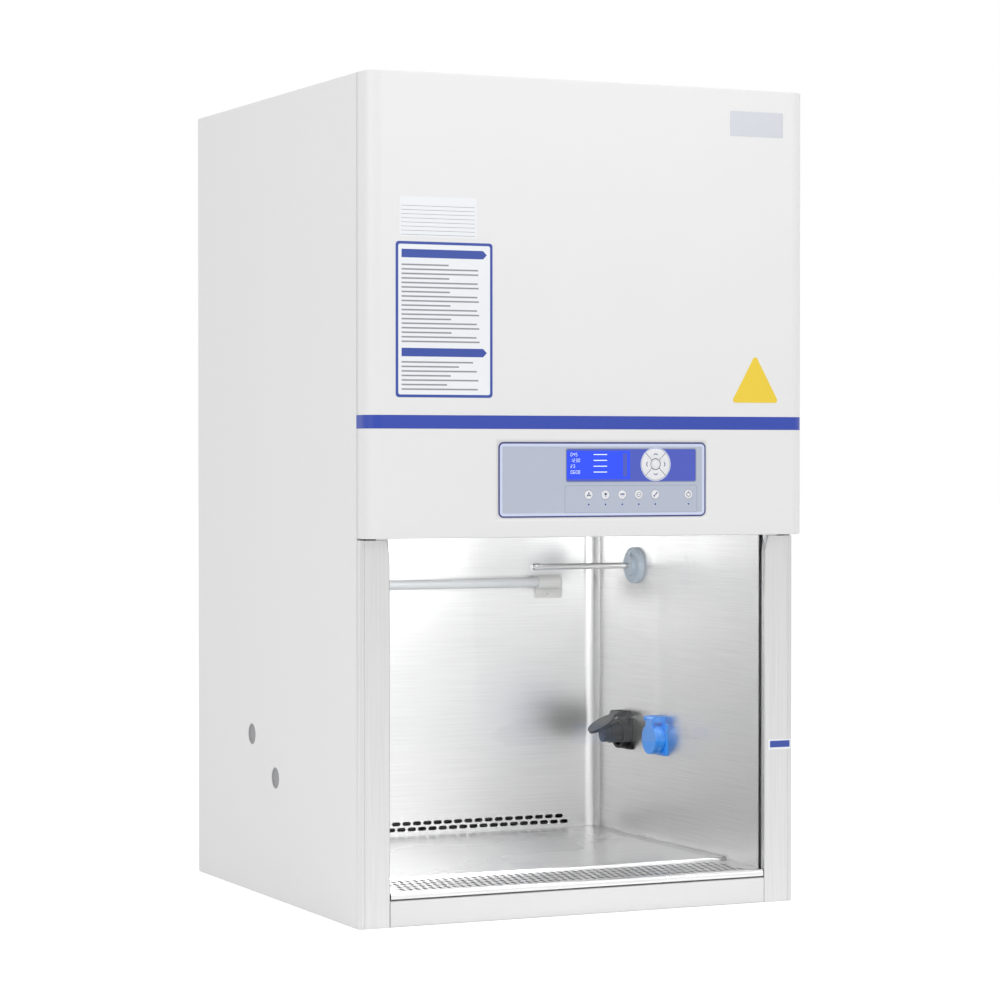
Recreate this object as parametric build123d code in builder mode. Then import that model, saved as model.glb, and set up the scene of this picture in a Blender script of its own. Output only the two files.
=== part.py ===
from build123d import *

import math
import os

# Biosafety cabinet, bench size. Millimetres. X to the right seen from the front, Y to the
# back, Z up. The origin is on the bench, under the middle of the cabinet.

# Overall size and panels
width = 710.0
depth = 730.0  # from the key faces to the back panel
height = 1220.0
sheet = 1.5  # painted steel of the outer panels
liner_sheet = 1.5  # stainless steel of the walls and posts
thin_sheet = 1.2  # stainless steel of the grille, worktop and pans
flange = 12.0  # folded edge of the side panels
seam = 0.5  # visible gap between two panels
seat_gap = 0.3  # gap between pieces that slide or hang beside each other

# Front cover
hood_depth = 45.0
hood_bottom = 557.0
hood_corner = 24.0  # radius of the two vertical front corners
hood_lip = 33.0  # depth of the fold along the lower edge
stripe_bottom = 713.5
stripe_height = 19.5
stripe_depth = 0.6

# Control panel, as seen from the front
panel_x = 15.5
panel_z = 640.2
panel_width = 337.0
panel_height = 108.6
panel_corner = 8.0
panel_rise = 0.4  # stands this far in front of the cover
panel_plate = 1.9  # from its front face to the ledge behind the cover
panel_ledge = 4.0  # rim that bears on the back of the cover
ledge_thickness = 3.0
panel_gap = 0.2
window_x = 61.2
window_z = 661.2
window_width = 214.5
window_height = 49.5
window_thickness = 1.0
window_corner = 3.0
pad_x = 100.8
pad_z = 662.6
pad_radius = 23.2
pad_core = 8.6  # inner radius of the four quarter keys
pad_split = 0.9  # gap between two quarter keys
ok_radius = 7.5
key_radius = 6.6
key_row_z = 618.2
key_columns = {"fan_key": -8.8, "light_key": 18.5, "lamp_key": 45.9,
               "outlet_key": 73.0, "tools_key": 100.3, "power_key": 155.3}
key_rise = 0.6
key_thickness = 2.6
key_travel = 0.6
key_edge = 0.35  # rounding of a key's front edge

# Front posts and base
post_projection = 8.0  # stands this far in front of the side panels
post_corner = 7.0
post_inner_bend = 2.5
post_return = 10.0  # depth of the fold beside the glass
post_top_gap = 2.5  # dark line under the cover
post_groove_x = 9.0  # from the outer side
post_groove_width = 1.2
post_groove_depth = 0.6
post_notch_width = 5.0
post_notch_height = 22.0
base_height = 37.4
base_recess = 1.0
base_flange = 14.0
base_wall = 30.0
base_floor = 2.0
lip_gap = 2.0  # dark line under the grille's lip

# Work chamber
side_cavity = 50.0  # between the outer skin and the chamber wall
duct_depth = 115.0  # behind the back wall
sill = 50.0
worktop = 55.0
ceiling = 575.0
cove_radius = 20.0
lip_radius = 5.0
grille_depth = 117.0  # lip to worktop
grille_slot = 20.0
grille_slot_width = 4.4
grille_margin = 21.8  # from the chamber wall to the first column
grille_pitch_y = 25.5
grille_rows = 4
grille_columns = 48
grille_first_row = 24.0  # from the lip's face to the middle of the first row
return_slot = 14.5
return_slot_width = 6.4
return_margin = 47.4  # from the chamber wall to the first column
return_pitch_z = 9.4
return_rows_z = 68.8  # middle of the two rows
return_columns = 28
window_leg = 30.0  # width of the legs under worktop and back wall
pan_height = 22.0
pan_corner = 24.0
worktop_margin = 14.0  # from the worktop's back skirt to the back wall
worktop_corner = 28.0  # clears the coved corners of the back wall

# Sliding window
glass_thickness = 5.0
glass_overlap = 83.0  # glass that stays behind the cover when shut
glass_entry = 11.0  # how far the glass reaches into its channels
glass_setback = 5.8  # middle of the glass behind the side panels' front edge
sash_opening = 200.0
closing_gap = 0.5
channel_slot = 7.6
channel_width = 19.2
channel_slot_depth = 13.2
channel_back = 6.5
channel_front_pocket = 5.0
channel_top_gap = 25.0
shoe_length = 12.0
shoe_top_length = 30.0

# Belt drive of the window
belt_inset = 15.0  # from the chamber wall
belt_width = 10.0
belt_thickness = 2.0
pulley_radius = 15.0
pulley_flange = 18.0
pulley_width = 13.6
pulley_rim = 1.5
stub_radius = 4.0
belt_setback = 2.0  # belt behind the glass
shaft_radius = 5.0
bearing_clearance = 0.05
shaft_below_top = 55.0
idler_above_ceiling = 15.0
clamp_width = 26.0
clamp_height = 33.0
clamp_plate = 3.0
bearing_size = 24.0
gearbox = 32.0
foot_plate = 4.0
motor_radius = 14.0
motor_length = 62.0
motor_x = 60.0  # gear motor, right of the middle

# Top hinge of the cover
hinge_radius = 2.5
hinge_pin_radius = 1.2
hinge_bore_gap = 0.15
hinge_inset = 55.0  # from the cabinet's side to the end of the hinge
hinge_leaf_depth = 24.0
hinge_leaf = 1.0
hinge_cut = 0.4
hinge_relief = 4.0  # rounding of the side panels' top front corners

# Air handling
plenum_front_gap = 47.0  # from the chamber walls' front edge to the plenum
diffuser_rim = 6.2
filter_height = 90.0
filter_frame = 18.0
filter_recess = 10.0  # pleats behind the face of the frame
pleat_count = 16
plenum_top_gap = 100.0  # room for the exhaust filter
exhaust_inset = 105.0  # from the chamber wall to the exhaust filter
exhaust_depth = 320.0
exhaust_y = 30.0
exhaust_slot_gap = 17.0  # between the ends of two slots
exhaust_slot_width = 9.0
exhaust_slot_rows = 12
wheel_radius = 108.0
wheel_width = 80.0
blade_inner_radius = 86.0
blade_count = 24
blade_thickness = 1.4
scroll_start = 118.0  # from the wheel's axis to the tongue
scroll_growth = 16.0
scroll_depth = 110.0
scroll_outlet = 150.0
blower_z = 900.0
motor_shaft_radius = 6.0
blower_motor_radius = 55.0
blower_motor_length = 75.0

# Fittings in the chamber
lamp_z = 465.0
lamp_standoff = 16.0  # tube axis in front of the back wall
lamp_radius = 8.0
lamp_half_length = 194.0
holder_radius = 11.0
holder_length = 44.0
holder_plate_width = 50.0
holder_plate_height = 40.0
holder_plate_thickness = 2.0
probe_y = 98.0
probe_z = 496.0
probe_flange_radius = 29.5
probe_flange_thickness = 8.0
probe_boss_radius = 17.0
probe_boss_length = 7.0
probe_rod_radius = 4.8
probe_reach = 187.0  # from the wall to the tip
probe_tip_length = 14.0
outlet_z = 219.6
black_outlet_y = 132.0
blue_outlet_y = 11.0
outlet_flange = 52.0
outlet_flange_thickness = 4.0
outlet_radius = 24.5
outlet_length = 16.0
outlet_bore = 19.5
outlet_bore_depth = 14.0
outlet_pin_pitch = 19.0
outlet_pin_radius = 2.4
outlet_pin_depth = 18.0
outlet_back_radius = 21.0
outlet_back_depth = 34.0
lid_radius = 24.0
lid_thickness = 5.0
lid_hinge_rise = 32.4  # hinge axis above the outlet's middle
lid_pin_radius = 2.0
lid_knuckle_radius = 3.8
lid_knuckle_length = 21.0
adapter_radius = 15.4
adapter_nose_radius = 13.6
adapter_collar = 12.0
adapter_reach = 44.0  # from the wall to the adapter's face

# Openings in the skins
service_holes = ((113.0, 244.0), (10.0, 185.0))  # Y and Z of the two holes, left side
service_hole_radius = 16.0
inlet_from_side = 115.0
inlet_below_top = 140.0
inlet_width = 27.0
inlet_height = 20.0
inlet_depth = 18.0
inlet_flange = 10.0
inlet_wall = 3.0
inlet_corner = 5.0
inlet_pin = 2.0
inlet_pin_rise = 2.0
inlet_pin_pitch = 14.0

# Edges and planes that follow from the sizes above
half_width = width / 2
y_front = -depth / 2
y_back = depth / 2
y_hood = y_front + panel_rise + key_rise
y_shell = y_hood + hood_depth
y_post = y_shell - post_projection
y_base = y_post + base_recess
chamber_half = half_width - side_cavity
y_wall = y_back - duct_depth
y_glass = y_shell + glass_setback
glass_back = y_glass + glass_thickness / 2
y_channel = y_glass + channel_slot / 2
post_inner = chamber_half + 2 * seam
channel_inner = post_inner + liner_sheet + seat_gap
inner_half = half_width - flange - seam
grille_pitch_x = 2 * (chamber_half - grille_margin) / grille_columns
return_pitch_x = 2 * (chamber_half - return_margin) / return_columns
belt_x = chamber_half - belt_inset
hinge_half_length = half_width - hinge_inset
exhaust_width = 2 * (chamber_half - exhaust_inset)
exhaust_slot = (exhaust_width - 2 * filter_frame - 2 * exhaust_slot_gap) / 3
inlet_x = half_width - inlet_from_side
inlet_z = height - inlet_below_top
y_plenum = y_channel + plenum_front_gap
z_filter = ceiling + diffuser_rim
z_plenum = z_filter + filter_height
z_plenum_top = height - plenum_top_gap
z_top = height - sheet
grille_top = sill - thin_sheet / 2
y_grille_end = y_base + grille_depth
y_worktop = y_grille_end + seam
sash_bottom = sill + closing_gap + sash_opening
glass_height = hood_bottom - sill + glass_overlap
sash_top = sash_bottom + glass_height
glass_half = channel_inner + glass_entry
y_belt = glass_back + belt_setback + belt_thickness
y_shaft = y_belt + pulley_radius
z_shaft = height - shaft_below_top
z_idler = ceiling + idler_above_ceiling
hinge_y = y_shell - seam + hinge_radius
hinge_z = height - hinge_radius
x_outlet = chamber_half - outlet_length
y_fascia = y_hood - panel_rise

os.makedirs("parts", exist_ok=True)


def facing_front(y, z=0):
    # A plane at depth y, drawn on as seen from the front: X to the right, Z up from z.
    return Plane(origin=(0, y, z), x_dir=(1, 0, 0), z_dir=(0, -1, 0))


def facing_right(x):
    # A plane at x, drawn on as seen from the right: Y to the right, Z up.
    return Plane.YZ.offset(x)


def corner(sketch, right, top):
    # The vertex of a sketch in the given corner.
    row = sketch.vertices().group_by(Axis.Y)[-1 if top else 0]
    return row.sort_by(Axis.X)[-1 if right else 0]


def staggered_slots(columns, pitch_x, rows, pitch_y, across, along):
    # Slots in rows, each other row moved by half a pitch.
    for row in range(rows):
        shift = (row % 2) * pitch_x / 2
        count = columns - row % 2
        first = -(columns - 1) * pitch_x / 2 + shift
        places = [(first + k * pitch_x, (row - (rows - 1) / 2) * pitch_y) for k in range(count)]
        with Locations(*places):
            Rectangle(across, along)


# The two outer skins: pressed trays with a folded edge all round
side_middle = ((y_shell + y_back) / 2, height / 2)
side_length = y_back - y_shell
for side, side_name in ((-1, "left_side_panel"), (1, "right_side_panel")):
    with BuildPart() as side_panel:
        skin = facing_right(side * half_width)
        with BuildSketch(skin) as side_outline:
            with Locations(side_middle):
                Rectangle(side_length, height)
            fillet(corner(side_outline, right=False, top=True), hinge_relief)
        extrude(amount=-side * flange)
        with BuildSketch(skin.offset(-side * sheet)):
            with Locations(side_middle):
                RectangleRounded(side_length - 2 * sheet, height - 2 * sheet, hinge_relief - sheet)
        extrude(amount=-side * flange, mode=Mode.SUBTRACT)
        if side < 0:
            with BuildSketch(skin):
                with Locations(*service_holes):
                    Circle(service_hole_radius)
            extrude(amount=sheet, mode=Mode.SUBTRACT)
    side_panel.part.label = side_name
    export_step(side_panel.part, f"parts/{side_name}.step")

# Plugs of the two service holes: a dished disc with a lip behind the skin
with BuildPart() as service_hole_plugs:
    with BuildSketch(facing_right(-half_width)):
        with Locations(*service_holes):
            Circle(service_hole_radius)
    extrude(amount=sheet)
    with BuildSketch(facing_right(-half_width + sheet)):
        with Locations(*service_holes):
            Circle(service_hole_radius + 2)
    extrude(amount=2 * sheet)
    with BuildSketch(facing_right(-half_width)):
        with Locations(*service_holes):
            Circle(service_hole_radius - 3)
    extrude(amount=sheet, mode=Mode.SUBTRACT)
service_hole_plugs.part.label = "service_hole_plugs"
export_step(service_hole_plugs.part, "parts/service_hole_plugs.step")

# Back panel between the folded edges of the skins: four sheets that meet round the mains inlet
inlet_half_width = (inlet_width + inlet_flange) / 2
inlet_half_height = (inlet_height + inlet_flange) / 2
below_top = inlet_z - inlet_half_height
above_bottom = inlet_z + inlet_half_height
beside_bottom = below_top + seam
with BuildPart() as back_panel:
    with BuildSketch(facing_front(y_back)):
        with Locations((0, below_top / 2)):
            Rectangle(2 * inner_half, below_top)
        with Locations(((inlet_x - inlet_half_width - inner_half) / 2, (beside_bottom + z_top - seam) / 2)):
            Rectangle(inner_half + inlet_x - inlet_half_width, z_top - seam - beside_bottom)
        with Locations(((inner_half + inlet_x + inlet_half_width) / 2, (beside_bottom + z_top - seam) / 2)):
            Rectangle(inner_half - inlet_x - inlet_half_width, z_top - seam - beside_bottom)
        with Locations((inlet_x, (above_bottom + z_top - seam) / 2)):
            Rectangle(2 * inlet_half_width - 2 * seam, z_top - seam - above_bottom)
    extrude(amount=sheet)
back_panel.part.label = "back_panel"
export_step(back_panel.part, "parts/back_panel.step")

# Mains inlet, its face flush with the back panel
with BuildPart() as power_inlet:
    with BuildSketch(facing_front(y_back)):
        with Locations((inlet_x, inlet_z)):
            Rectangle(2 * inlet_half_width, 2 * inlet_half_height)
    extrude(amount=inlet_depth + inlet_wall)
    with BuildSketch(facing_front(y_back)) as inlet_mouth:
        with Locations((inlet_x, inlet_z)):
            Rectangle(inlet_width, inlet_height)
        chamfer(inlet_mouth.vertices().group_by(Axis.Y)[-1], inlet_corner)
    extrude(amount=inlet_depth, mode=Mode.SUBTRACT)
    with BuildSketch(facing_front(y_back - inlet_depth)):
        with Locations((inlet_x, inlet_z + inlet_pin_rise),
                       (inlet_x - inlet_pin_pitch / 2, inlet_z - inlet_pin_rise),
                       (inlet_x + inlet_pin_pitch / 2, inlet_z - inlet_pin_rise)):
            Rectangle(inlet_pin, 2 * inlet_pin)
    extrude(amount=-inlet_depth / 2)
power_inlet.part.label = "power_inlet"
export_step(power_inlet.part, "parts/power_inlet.step")

# Top panel with the exhaust slots over the upper filter
with BuildPart() as top_panel:
    with BuildSketch(Plane.XY.offset(z_top)):
        with Locations((0, (hinge_y + hinge_radius + seam + y_back) / 2)):
            Rectangle(2 * inner_half, y_back - hinge_y - hinge_radius - seam)
        with Locations((0, exhaust_y)):
            with GridLocations(exhaust_slot + exhaust_slot_gap, 2.2 * exhaust_slot_width,
                               3, exhaust_slot_rows):
                Rectangle(exhaust_slot, exhaust_slot_width, mode=Mode.SUBTRACT)
    extrude(amount=sheet)
top_panel.part.label = "top_panel"
export_step(top_panel.part, "parts/top_panel.step")

# Base frame: the shallow tub that everything stands in
base_back = y_back - sheet - seat_gap
base_front = y_post + post_return + seam
tub_front = y_channel + channel_back + seam
with BuildPart() as base_frame:
    with BuildSketch():
        with Locations((0, (base_front + base_back) / 2)):
            Rectangle(2 * inner_half, base_back - base_front)
    extrude(amount=base_floor)
    with BuildSketch():
        with Locations((0, (tub_front + base_back) / 2)):
            Rectangle(2 * inner_half, base_back - tub_front)
    extrude(amount=base_wall)
    with BuildSketch(Plane.XY.offset(base_floor)):
        with Locations((0, (tub_front + base_back) / 2)):
            Rectangle(2 * (inner_half - base_floor), base_back - tub_front - 2 * base_floor)
        for side in (-1, 1):
            with Locations((side * (chamber_half + liner_sheet / 2), tub_front)):
                Rectangle(liner_sheet + 2 * seat_gap, 3 * base_floor)
    extrude(amount=base_wall, mode=Mode.SUBTRACT)
base_frame.part.label = "base_frame"
export_step(base_frame.part, "parts/base_frame.step")

# Front panel of the base: one bent sheet, closed towards the floor
base_half = post_inner - seam
base_middle = y_base + sheet / 2
with BuildPart() as base_front_panel:
    with BuildSketch(facing_right(-base_half)):
        with BuildLine():
            FilletPolyline((y_shell - seat_gap, sheet / 2), (base_middle, sheet / 2),
                           (base_middle, base_height - sheet / 2),
                           (base_middle + base_flange, base_height - sheet / 2),
                           radius=(sheet, sheet))
        trace(line_width=sheet)
    extrude(amount=2 * base_half)
base_front_panel.part.label = "base_front_panel"
export_step(base_front_panel.part, "parts/base_front_panel.step")

# Front posts: stainless sheet bent round the front corner, with a fold beside the glass
post_top = hood_bottom - post_top_gap
post_front = y_post + liner_sheet / 2
post_outer_x = half_width - liner_sheet / 2
post_inner_x = post_inner + liner_sheet / 2
for side, post_name in ((-1, "left_post"), (1, "right_post")):
    with BuildPart() as post:
        with BuildSketch():
            with BuildLine():
                FilletPolyline((side * post_outer_x, y_shell - seam), (side * post_outer_x, post_front),
                               (side * post_inner_x, post_front),
                               (side * post_inner_x, y_post + post_return),
                               radius=(post_corner - liner_sheet / 2, post_inner_bend - liner_sheet / 2))
            trace(line_width=liner_sheet)
        extrude(amount=post_top)
        with BuildSketch():
            with Locations((side * (half_width - post_groove_x), y_post)):
                Rectangle(post_groove_width, 2 * post_groove_depth)
        extrude(amount=post_top, mode=Mode.SUBTRACT)
        with BuildSketch(facing_front(y_post + liner_sheet)):
            Polygon((side * post_inner, post_top), (side * (post_inner + post_notch_width), post_top),
                    (side * post_inner, post_top - post_notch_height), align=None)
        extrude(amount=2 * liner_sheet, mode=Mode.SUBTRACT)
    post.part.label = post_name
    export_step(post.part, f"parts/{post_name}.step")

# Channels that guide the glass, from the base up behind the cover
channel_front = y_post + liner_sheet + seat_gap
channel_depth = y_channel + channel_back - channel_front
with BuildPart() as sash_rails:
    with BuildSketch(Plane.XY.offset(base_floor)):
        for side in (-1, 1):
            with Locations((side * (channel_inner + channel_width / 2), channel_front + channel_depth / 2)):
                Rectangle(channel_width, channel_depth)
            with Locations((side * (channel_inner + channel_slot_depth / 2), y_glass)):
                Rectangle(channel_slot_depth, channel_slot, mode=Mode.SUBTRACT)
    extrude(amount=height - channel_top_gap - base_floor)
sash_rails.part.label = "sash_rails"
export_step(sash_rails.part, "parts/sash_rails.step")

# Side walls of the chamber, which also carry the filters and the plenum
wall_front = y_channel
for side, wall_name in ((-1, "inner_left_wall"), (1, "inner_right_wall")):
    with BuildPart() as inner_wall:
        wall_plane = facing_right(side * chamber_half)
        with BuildSketch(wall_plane):
            with Locations(((wall_front + y_wall) / 2, (base_floor + z_top) / 2)):
                Rectangle(y_wall - wall_front, z_top - base_floor)
            if side > 0:
                with Locations((black_outlet_y, outlet_z), (blue_outlet_y, outlet_z)):
                    Circle(outlet_back_radius, mode=Mode.SUBTRACT)
        extrude(amount=side * liner_sheet)
    inner_wall.part.label = wall_name
    export_step(inner_wall.part, f"parts/{wall_name}.step")

# Back wall of the chamber: coved corners, return slots and the window of the air path
cove_middle = cove_radius + liner_sheet / 2
cove_x = chamber_half - liner_sheet / 2 - bearing_clearance
with BuildPart() as inner_back_wall:
    with BuildSketch(Plane.XY.offset(base_floor)):
        with BuildLine():
            FilletPolyline((-cove_x, y_wall - cove_radius), (-cove_x, y_wall + liner_sheet / 2),
                           (cove_x, y_wall + liner_sheet / 2), (cove_x, y_wall - cove_radius),
                           radius=(cove_radius, cove_radius))
        trace(line_width=liner_sheet)
    extrude(amount=ceiling - base_floor)
    with BuildSketch(facing_front(y_wall + liner_sheet)):
        with Locations((0, return_rows_z)):
            staggered_slots(return_columns, return_pitch_x, 2, return_pitch_z,
                            return_slot, return_slot_width)
        with Locations((0, (base_wall + base_floor) / 2)):
            Rectangle(2 * (chamber_half - window_leg), base_wall - base_floor - 2 * thin_sheet)
    extrude(amount=2 * liner_sheet, mode=Mode.SUBTRACT)
inner_back_wall.part.label = "inner_back_wall"
export_step(inner_back_wall.part, "parts/inner_back_wall.step")

# Drain pan in the base, with rounded corners
pan_half = chamber_half - 1
pan_front = tub_front + base_floor + seam
pan_back = y_wall - cove_radius / 2
with BuildPart() as drain_pan:
    with BuildSketch(Plane.XY.offset(base_floor)):
        with Locations((0, (pan_front + pan_back) / 2)):
            RectangleRounded(2 * pan_half, pan_back - pan_front, pan_corner)
    extrude(amount=pan_height)
    offset(amount=-thin_sheet, openings=drain_pan.faces().sort_by(Axis.Z)[-1])
drain_pan.part.label = "drain_pan"
export_step(drain_pan.part, "parts/drain_pan.step")

# Worktop: a sheet with a rounded front edge, on skirts that leave the air path open
worktop_half = chamber_half - 2 * seat_gap
skirt_half = pan_half - pan_corner
pan_floor = base_floor + thin_sheet
worktop_middle = worktop - thin_sheet / 2
worktop_back = y_wall - worktop_margin
with BuildPart() as work_surface:
    with BuildSketch(facing_right(-skirt_half)):
        with BuildLine():
            FilletPolyline((y_worktop + thin_sheet / 2, pan_floor),
                           (y_worktop + thin_sheet / 2, worktop_middle),
                           (worktop_back, worktop_middle), (worktop_back, pan_floor),
                           radius=(lip_radius, 2 * thin_sheet))
        trace(line_width=thin_sheet)
    extrude(amount=2 * skirt_half)
    with BuildSketch(facing_right(-worktop_half)):
        with BuildLine():
            FilletPolyline((y_worktop + thin_sheet / 2, worktop - 2 * lip_radius),
                           (y_worktop + thin_sheet / 2, worktop_middle),
                           (y_worktop + 3 * lip_radius, worktop_middle), radius=(lip_radius,))
        trace(line_width=thin_sheet)
    extrude(amount=2 * worktop_half)
    with BuildSketch(Plane.XY.offset(worktop - thin_sheet)) as worktop_plan:
        with Locations((0, (y_worktop + 2 * lip_radius + y_wall - seat_gap) / 2)):
            Rectangle(2 * worktop_half, y_wall - seat_gap - y_worktop - 2 * lip_radius)
        fillet(worktop_plan.vertices().group_by(Axis.Y)[-1], worktop_corner)
    extrude(amount=thin_sheet)
    with BuildSketch(facing_front(worktop_back + thin_sheet)):
        with Locations((0, (pan_floor + sill) / 2)):
            Rectangle(2 * (skirt_half - window_leg), sill - pan_floor - 4 * lip_radius)
    extrude(amount=depth, mode=Mode.SUBTRACT)
work_surface.part.label = "work_surface"
export_step(work_surface.part, "parts/work_surface.step")

# Front grille: lip, folded foot on the base panel, and four rows of slots
lip_middle = y_base + thin_sheet / 2
foot_z = base_height + thin_sheet / 2
lip_z = foot_z + lip_gap
grille_half = chamber_half - seam
grille_back = y_grille_end - thin_sheet / 2
with BuildPart() as front_grille:
    with BuildSketch(facing_right(-grille_half)):
        with BuildLine():
            FilletPolyline((y_base + base_flange, foot_z), (lip_middle + 8, foot_z),
                           (lip_middle + 5, lip_z), (lip_middle, lip_z), (lip_middle, grille_top),
                           (grille_back, grille_top), (grille_back, grille_top - 2 * lip_radius),
                           radius=(1, 1, 1, lip_radius - thin_sheet / 2, thin_sheet))
        trace(line_width=thin_sheet)
    extrude(amount=2 * grille_half)
    with BuildSketch(Plane.XY.offset(sill - thin_sheet)):
        with Locations((0, y_base + grille_first_row + grille_pitch_y * (grille_rows - 1) / 2)):
            staggered_slots(grille_columns, grille_pitch_x, grille_rows, grille_pitch_y,
                            grille_slot_width, grille_slot)
    extrude(amount=thin_sheet, mode=Mode.SUBTRACT)
front_grille.part.label = "front_grille"
export_step(front_grille.part, "parts/front_grille.step")

# Air diffuser over the chamber: a tray with long slots
air_back = y_wall - seam
air_middle = (y_plenum + air_back) / 2
air_depth = air_back - y_plenum
air_half = chamber_half - seat_gap
with BuildPart() as diffuser:
    with BuildSketch(Plane.XY.offset(ceiling)):
        with Locations((0, air_middle)):
            Rectangle(2 * air_half, air_depth)
    extrude(amount=diffuser_rim)
    with BuildSketch(Plane.XY.offset(ceiling + thin_sheet)):
        with Locations((0, air_middle)):
            Rectangle(2 * (air_half - thin_sheet), air_depth - 2 * thin_sheet)
    extrude(amount=diffuser_rim, mode=Mode.SUBTRACT)
    with BuildSketch(Plane.XY.offset(ceiling)):
        with Locations((0, air_middle)):
            with GridLocations(air_half / 3, air_depth / 9, 5, 8):
                Rectangle(air_half / 4, 12)
    extrude(amount=thin_sheet, mode=Mode.SUBTRACT)
diffuser.part.label = "diffuser"
export_step(diffuser.part, "parts/diffuser.step")


def pleats(pleat_half, low, high, count):
    # A zigzag band, drawn as seen from the front, that fills a filter's frame.
    step = 2 * pleat_half / count
    upper = []
    lower = []
    for k in range(count + 1):
        x = -pleat_half + k * step
        peak = high if k % 2 else low + 4
        upper.append((x, peak))
        lower.append((x, peak - 4))
    Polygon(*upper, *reversed(lower), align=None)


# Supply filter: frame with a pleated pack
with BuildPart() as supply_filter:
    with BuildSketch(Plane.XY.offset(z_filter)):
        with Locations((0, air_middle)):
            Rectangle(2 * air_half, air_depth)
            Rectangle(2 * (air_half - filter_frame), air_depth - 2 * filter_frame, mode=Mode.SUBTRACT)
    extrude(amount=filter_height)
    with BuildSketch(facing_front(air_back - filter_frame)):
        pleats(air_half - filter_frame, z_filter + filter_recess, z_plenum - filter_recess, pleat_count)
    extrude(amount=air_depth - 2 * filter_frame)
supply_filter.part.label = "supply_filter"
export_step(supply_filter.part, "parts/supply_filter.step")

# Plenum: open to the supply filter below, with the way to the exhaust filter on top
with BuildPart() as plenum_box:
    with BuildSketch(Plane.XY.offset(z_plenum)):
        with Locations((0, air_middle)):
            Rectangle(2 * air_half, air_depth)
    extrude(amount=z_plenum_top - z_plenum)
    with BuildSketch(Plane.XY.offset(z_plenum)):
        with Locations((0, air_middle)):
            Rectangle(2 * (air_half - sheet), air_depth - 2 * sheet)
    extrude(amount=z_plenum_top - z_plenum - sheet, mode=Mode.SUBTRACT)
    with BuildSketch(Plane.XY.offset(z_plenum_top)):
        with Locations((0, exhaust_y)):
            Rectangle(exhaust_width - 2 * filter_frame, exhaust_depth - 2 * filter_frame)
    extrude(amount=-sheet, mode=Mode.SUBTRACT)
    with BuildSketch(facing_front(air_back, z=blower_z)):
        Circle(blade_inner_radius)
    extrude(amount=sheet, mode=Mode.SUBTRACT)
plenum_box.part.label = "plenum_box"
export_step(plenum_box.part, "parts/plenum_box.step")

# Exhaust filter between the plenum and the top panel
with BuildPart() as exhaust_filter:
    with BuildSketch(Plane.XY.offset(z_plenum_top)):
        with Locations((0, exhaust_y)):
            Rectangle(exhaust_width, exhaust_depth)
            Rectangle(exhaust_width - 2 * filter_frame, exhaust_depth - 2 * filter_frame, mode=Mode.SUBTRACT)
    extrude(amount=z_top - z_plenum_top)
    with BuildSketch(facing_front(exhaust_y + exhaust_depth / 2 - filter_frame)):
        pleats(exhaust_width / 2 - filter_frame, z_plenum_top + filter_recess, z_top - filter_recess,
               pleat_count)
    extrude(amount=exhaust_depth - 2 * filter_frame)
exhaust_filter.part.label = "exhaust_filter"
export_step(exhaust_filter.part, "parts/exhaust_filter.step")

# Blower housing: a scroll of three quarter arcs that open step by step, then a straight run
scroll_back = air_back - sheet
with BuildPart() as blower_housing:
    with BuildSketch(facing_front(scroll_back, z=blower_z)):
        with BuildLine():
            top_run = Line((scroll_outlet, 0), (scroll_start, 0))
            rise = JernArc(top_run @ 1, (0, 1), scroll_start + scroll_growth / 2, 90)
            over = JernArc(rise @ 1, rise % 1, scroll_start + 3 * scroll_growth / 2, 90)
            fall = JernArc(over @ 1, over % 1, scroll_start + 5 * scroll_growth / 2, 90)
            outlet_run = Line(fall @ 1, (scroll_outlet, (fall @ 1).Y))
        trace(line_width=sheet)
    extrude(amount=scroll_depth)
    for plate_y, hole_radius in ((scroll_back, blade_inner_radius),
                                 (scroll_back - scroll_depth + sheet, 3 * motor_shaft_radius)):
        with BuildSketch(facing_front(plate_y, z=blower_z)):
            with BuildLine():
                add(top_run)
                add(rise)
                add(over)
                add(fall)
                add(outlet_run)
                Line(outlet_run @ 1, top_run @ 0)
            make_face()
            Circle(hole_radius, mode=Mode.SUBTRACT)
        extrude(amount=sheet)
blower_housing.part.label = "blower_housing"
export_step(blower_housing.part, "parts/blower_housing.step")

# Blower motor on the front plate of the scroll
motor_back = scroll_back - scroll_depth
with BuildPart() as blower_motor:
    with BuildSketch(facing_front(motor_back, z=blower_z)):
        Circle(blower_motor_radius)
    extrude(amount=blower_motor_length)
    chamfer(blower_motor.edges().sort_by(Axis.Y)[0], motor_shaft_radius)
    with BuildSketch(facing_front(motor_back, z=blower_z)):
        Circle(motor_shaft_radius + bearing_clearance)
    extrude(amount=5 * motor_shaft_radius, mode=Mode.SUBTRACT)
blower_motor.part.label = "blower_motor"
export_step(blower_motor.part, "parts/blower_motor.step")

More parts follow.
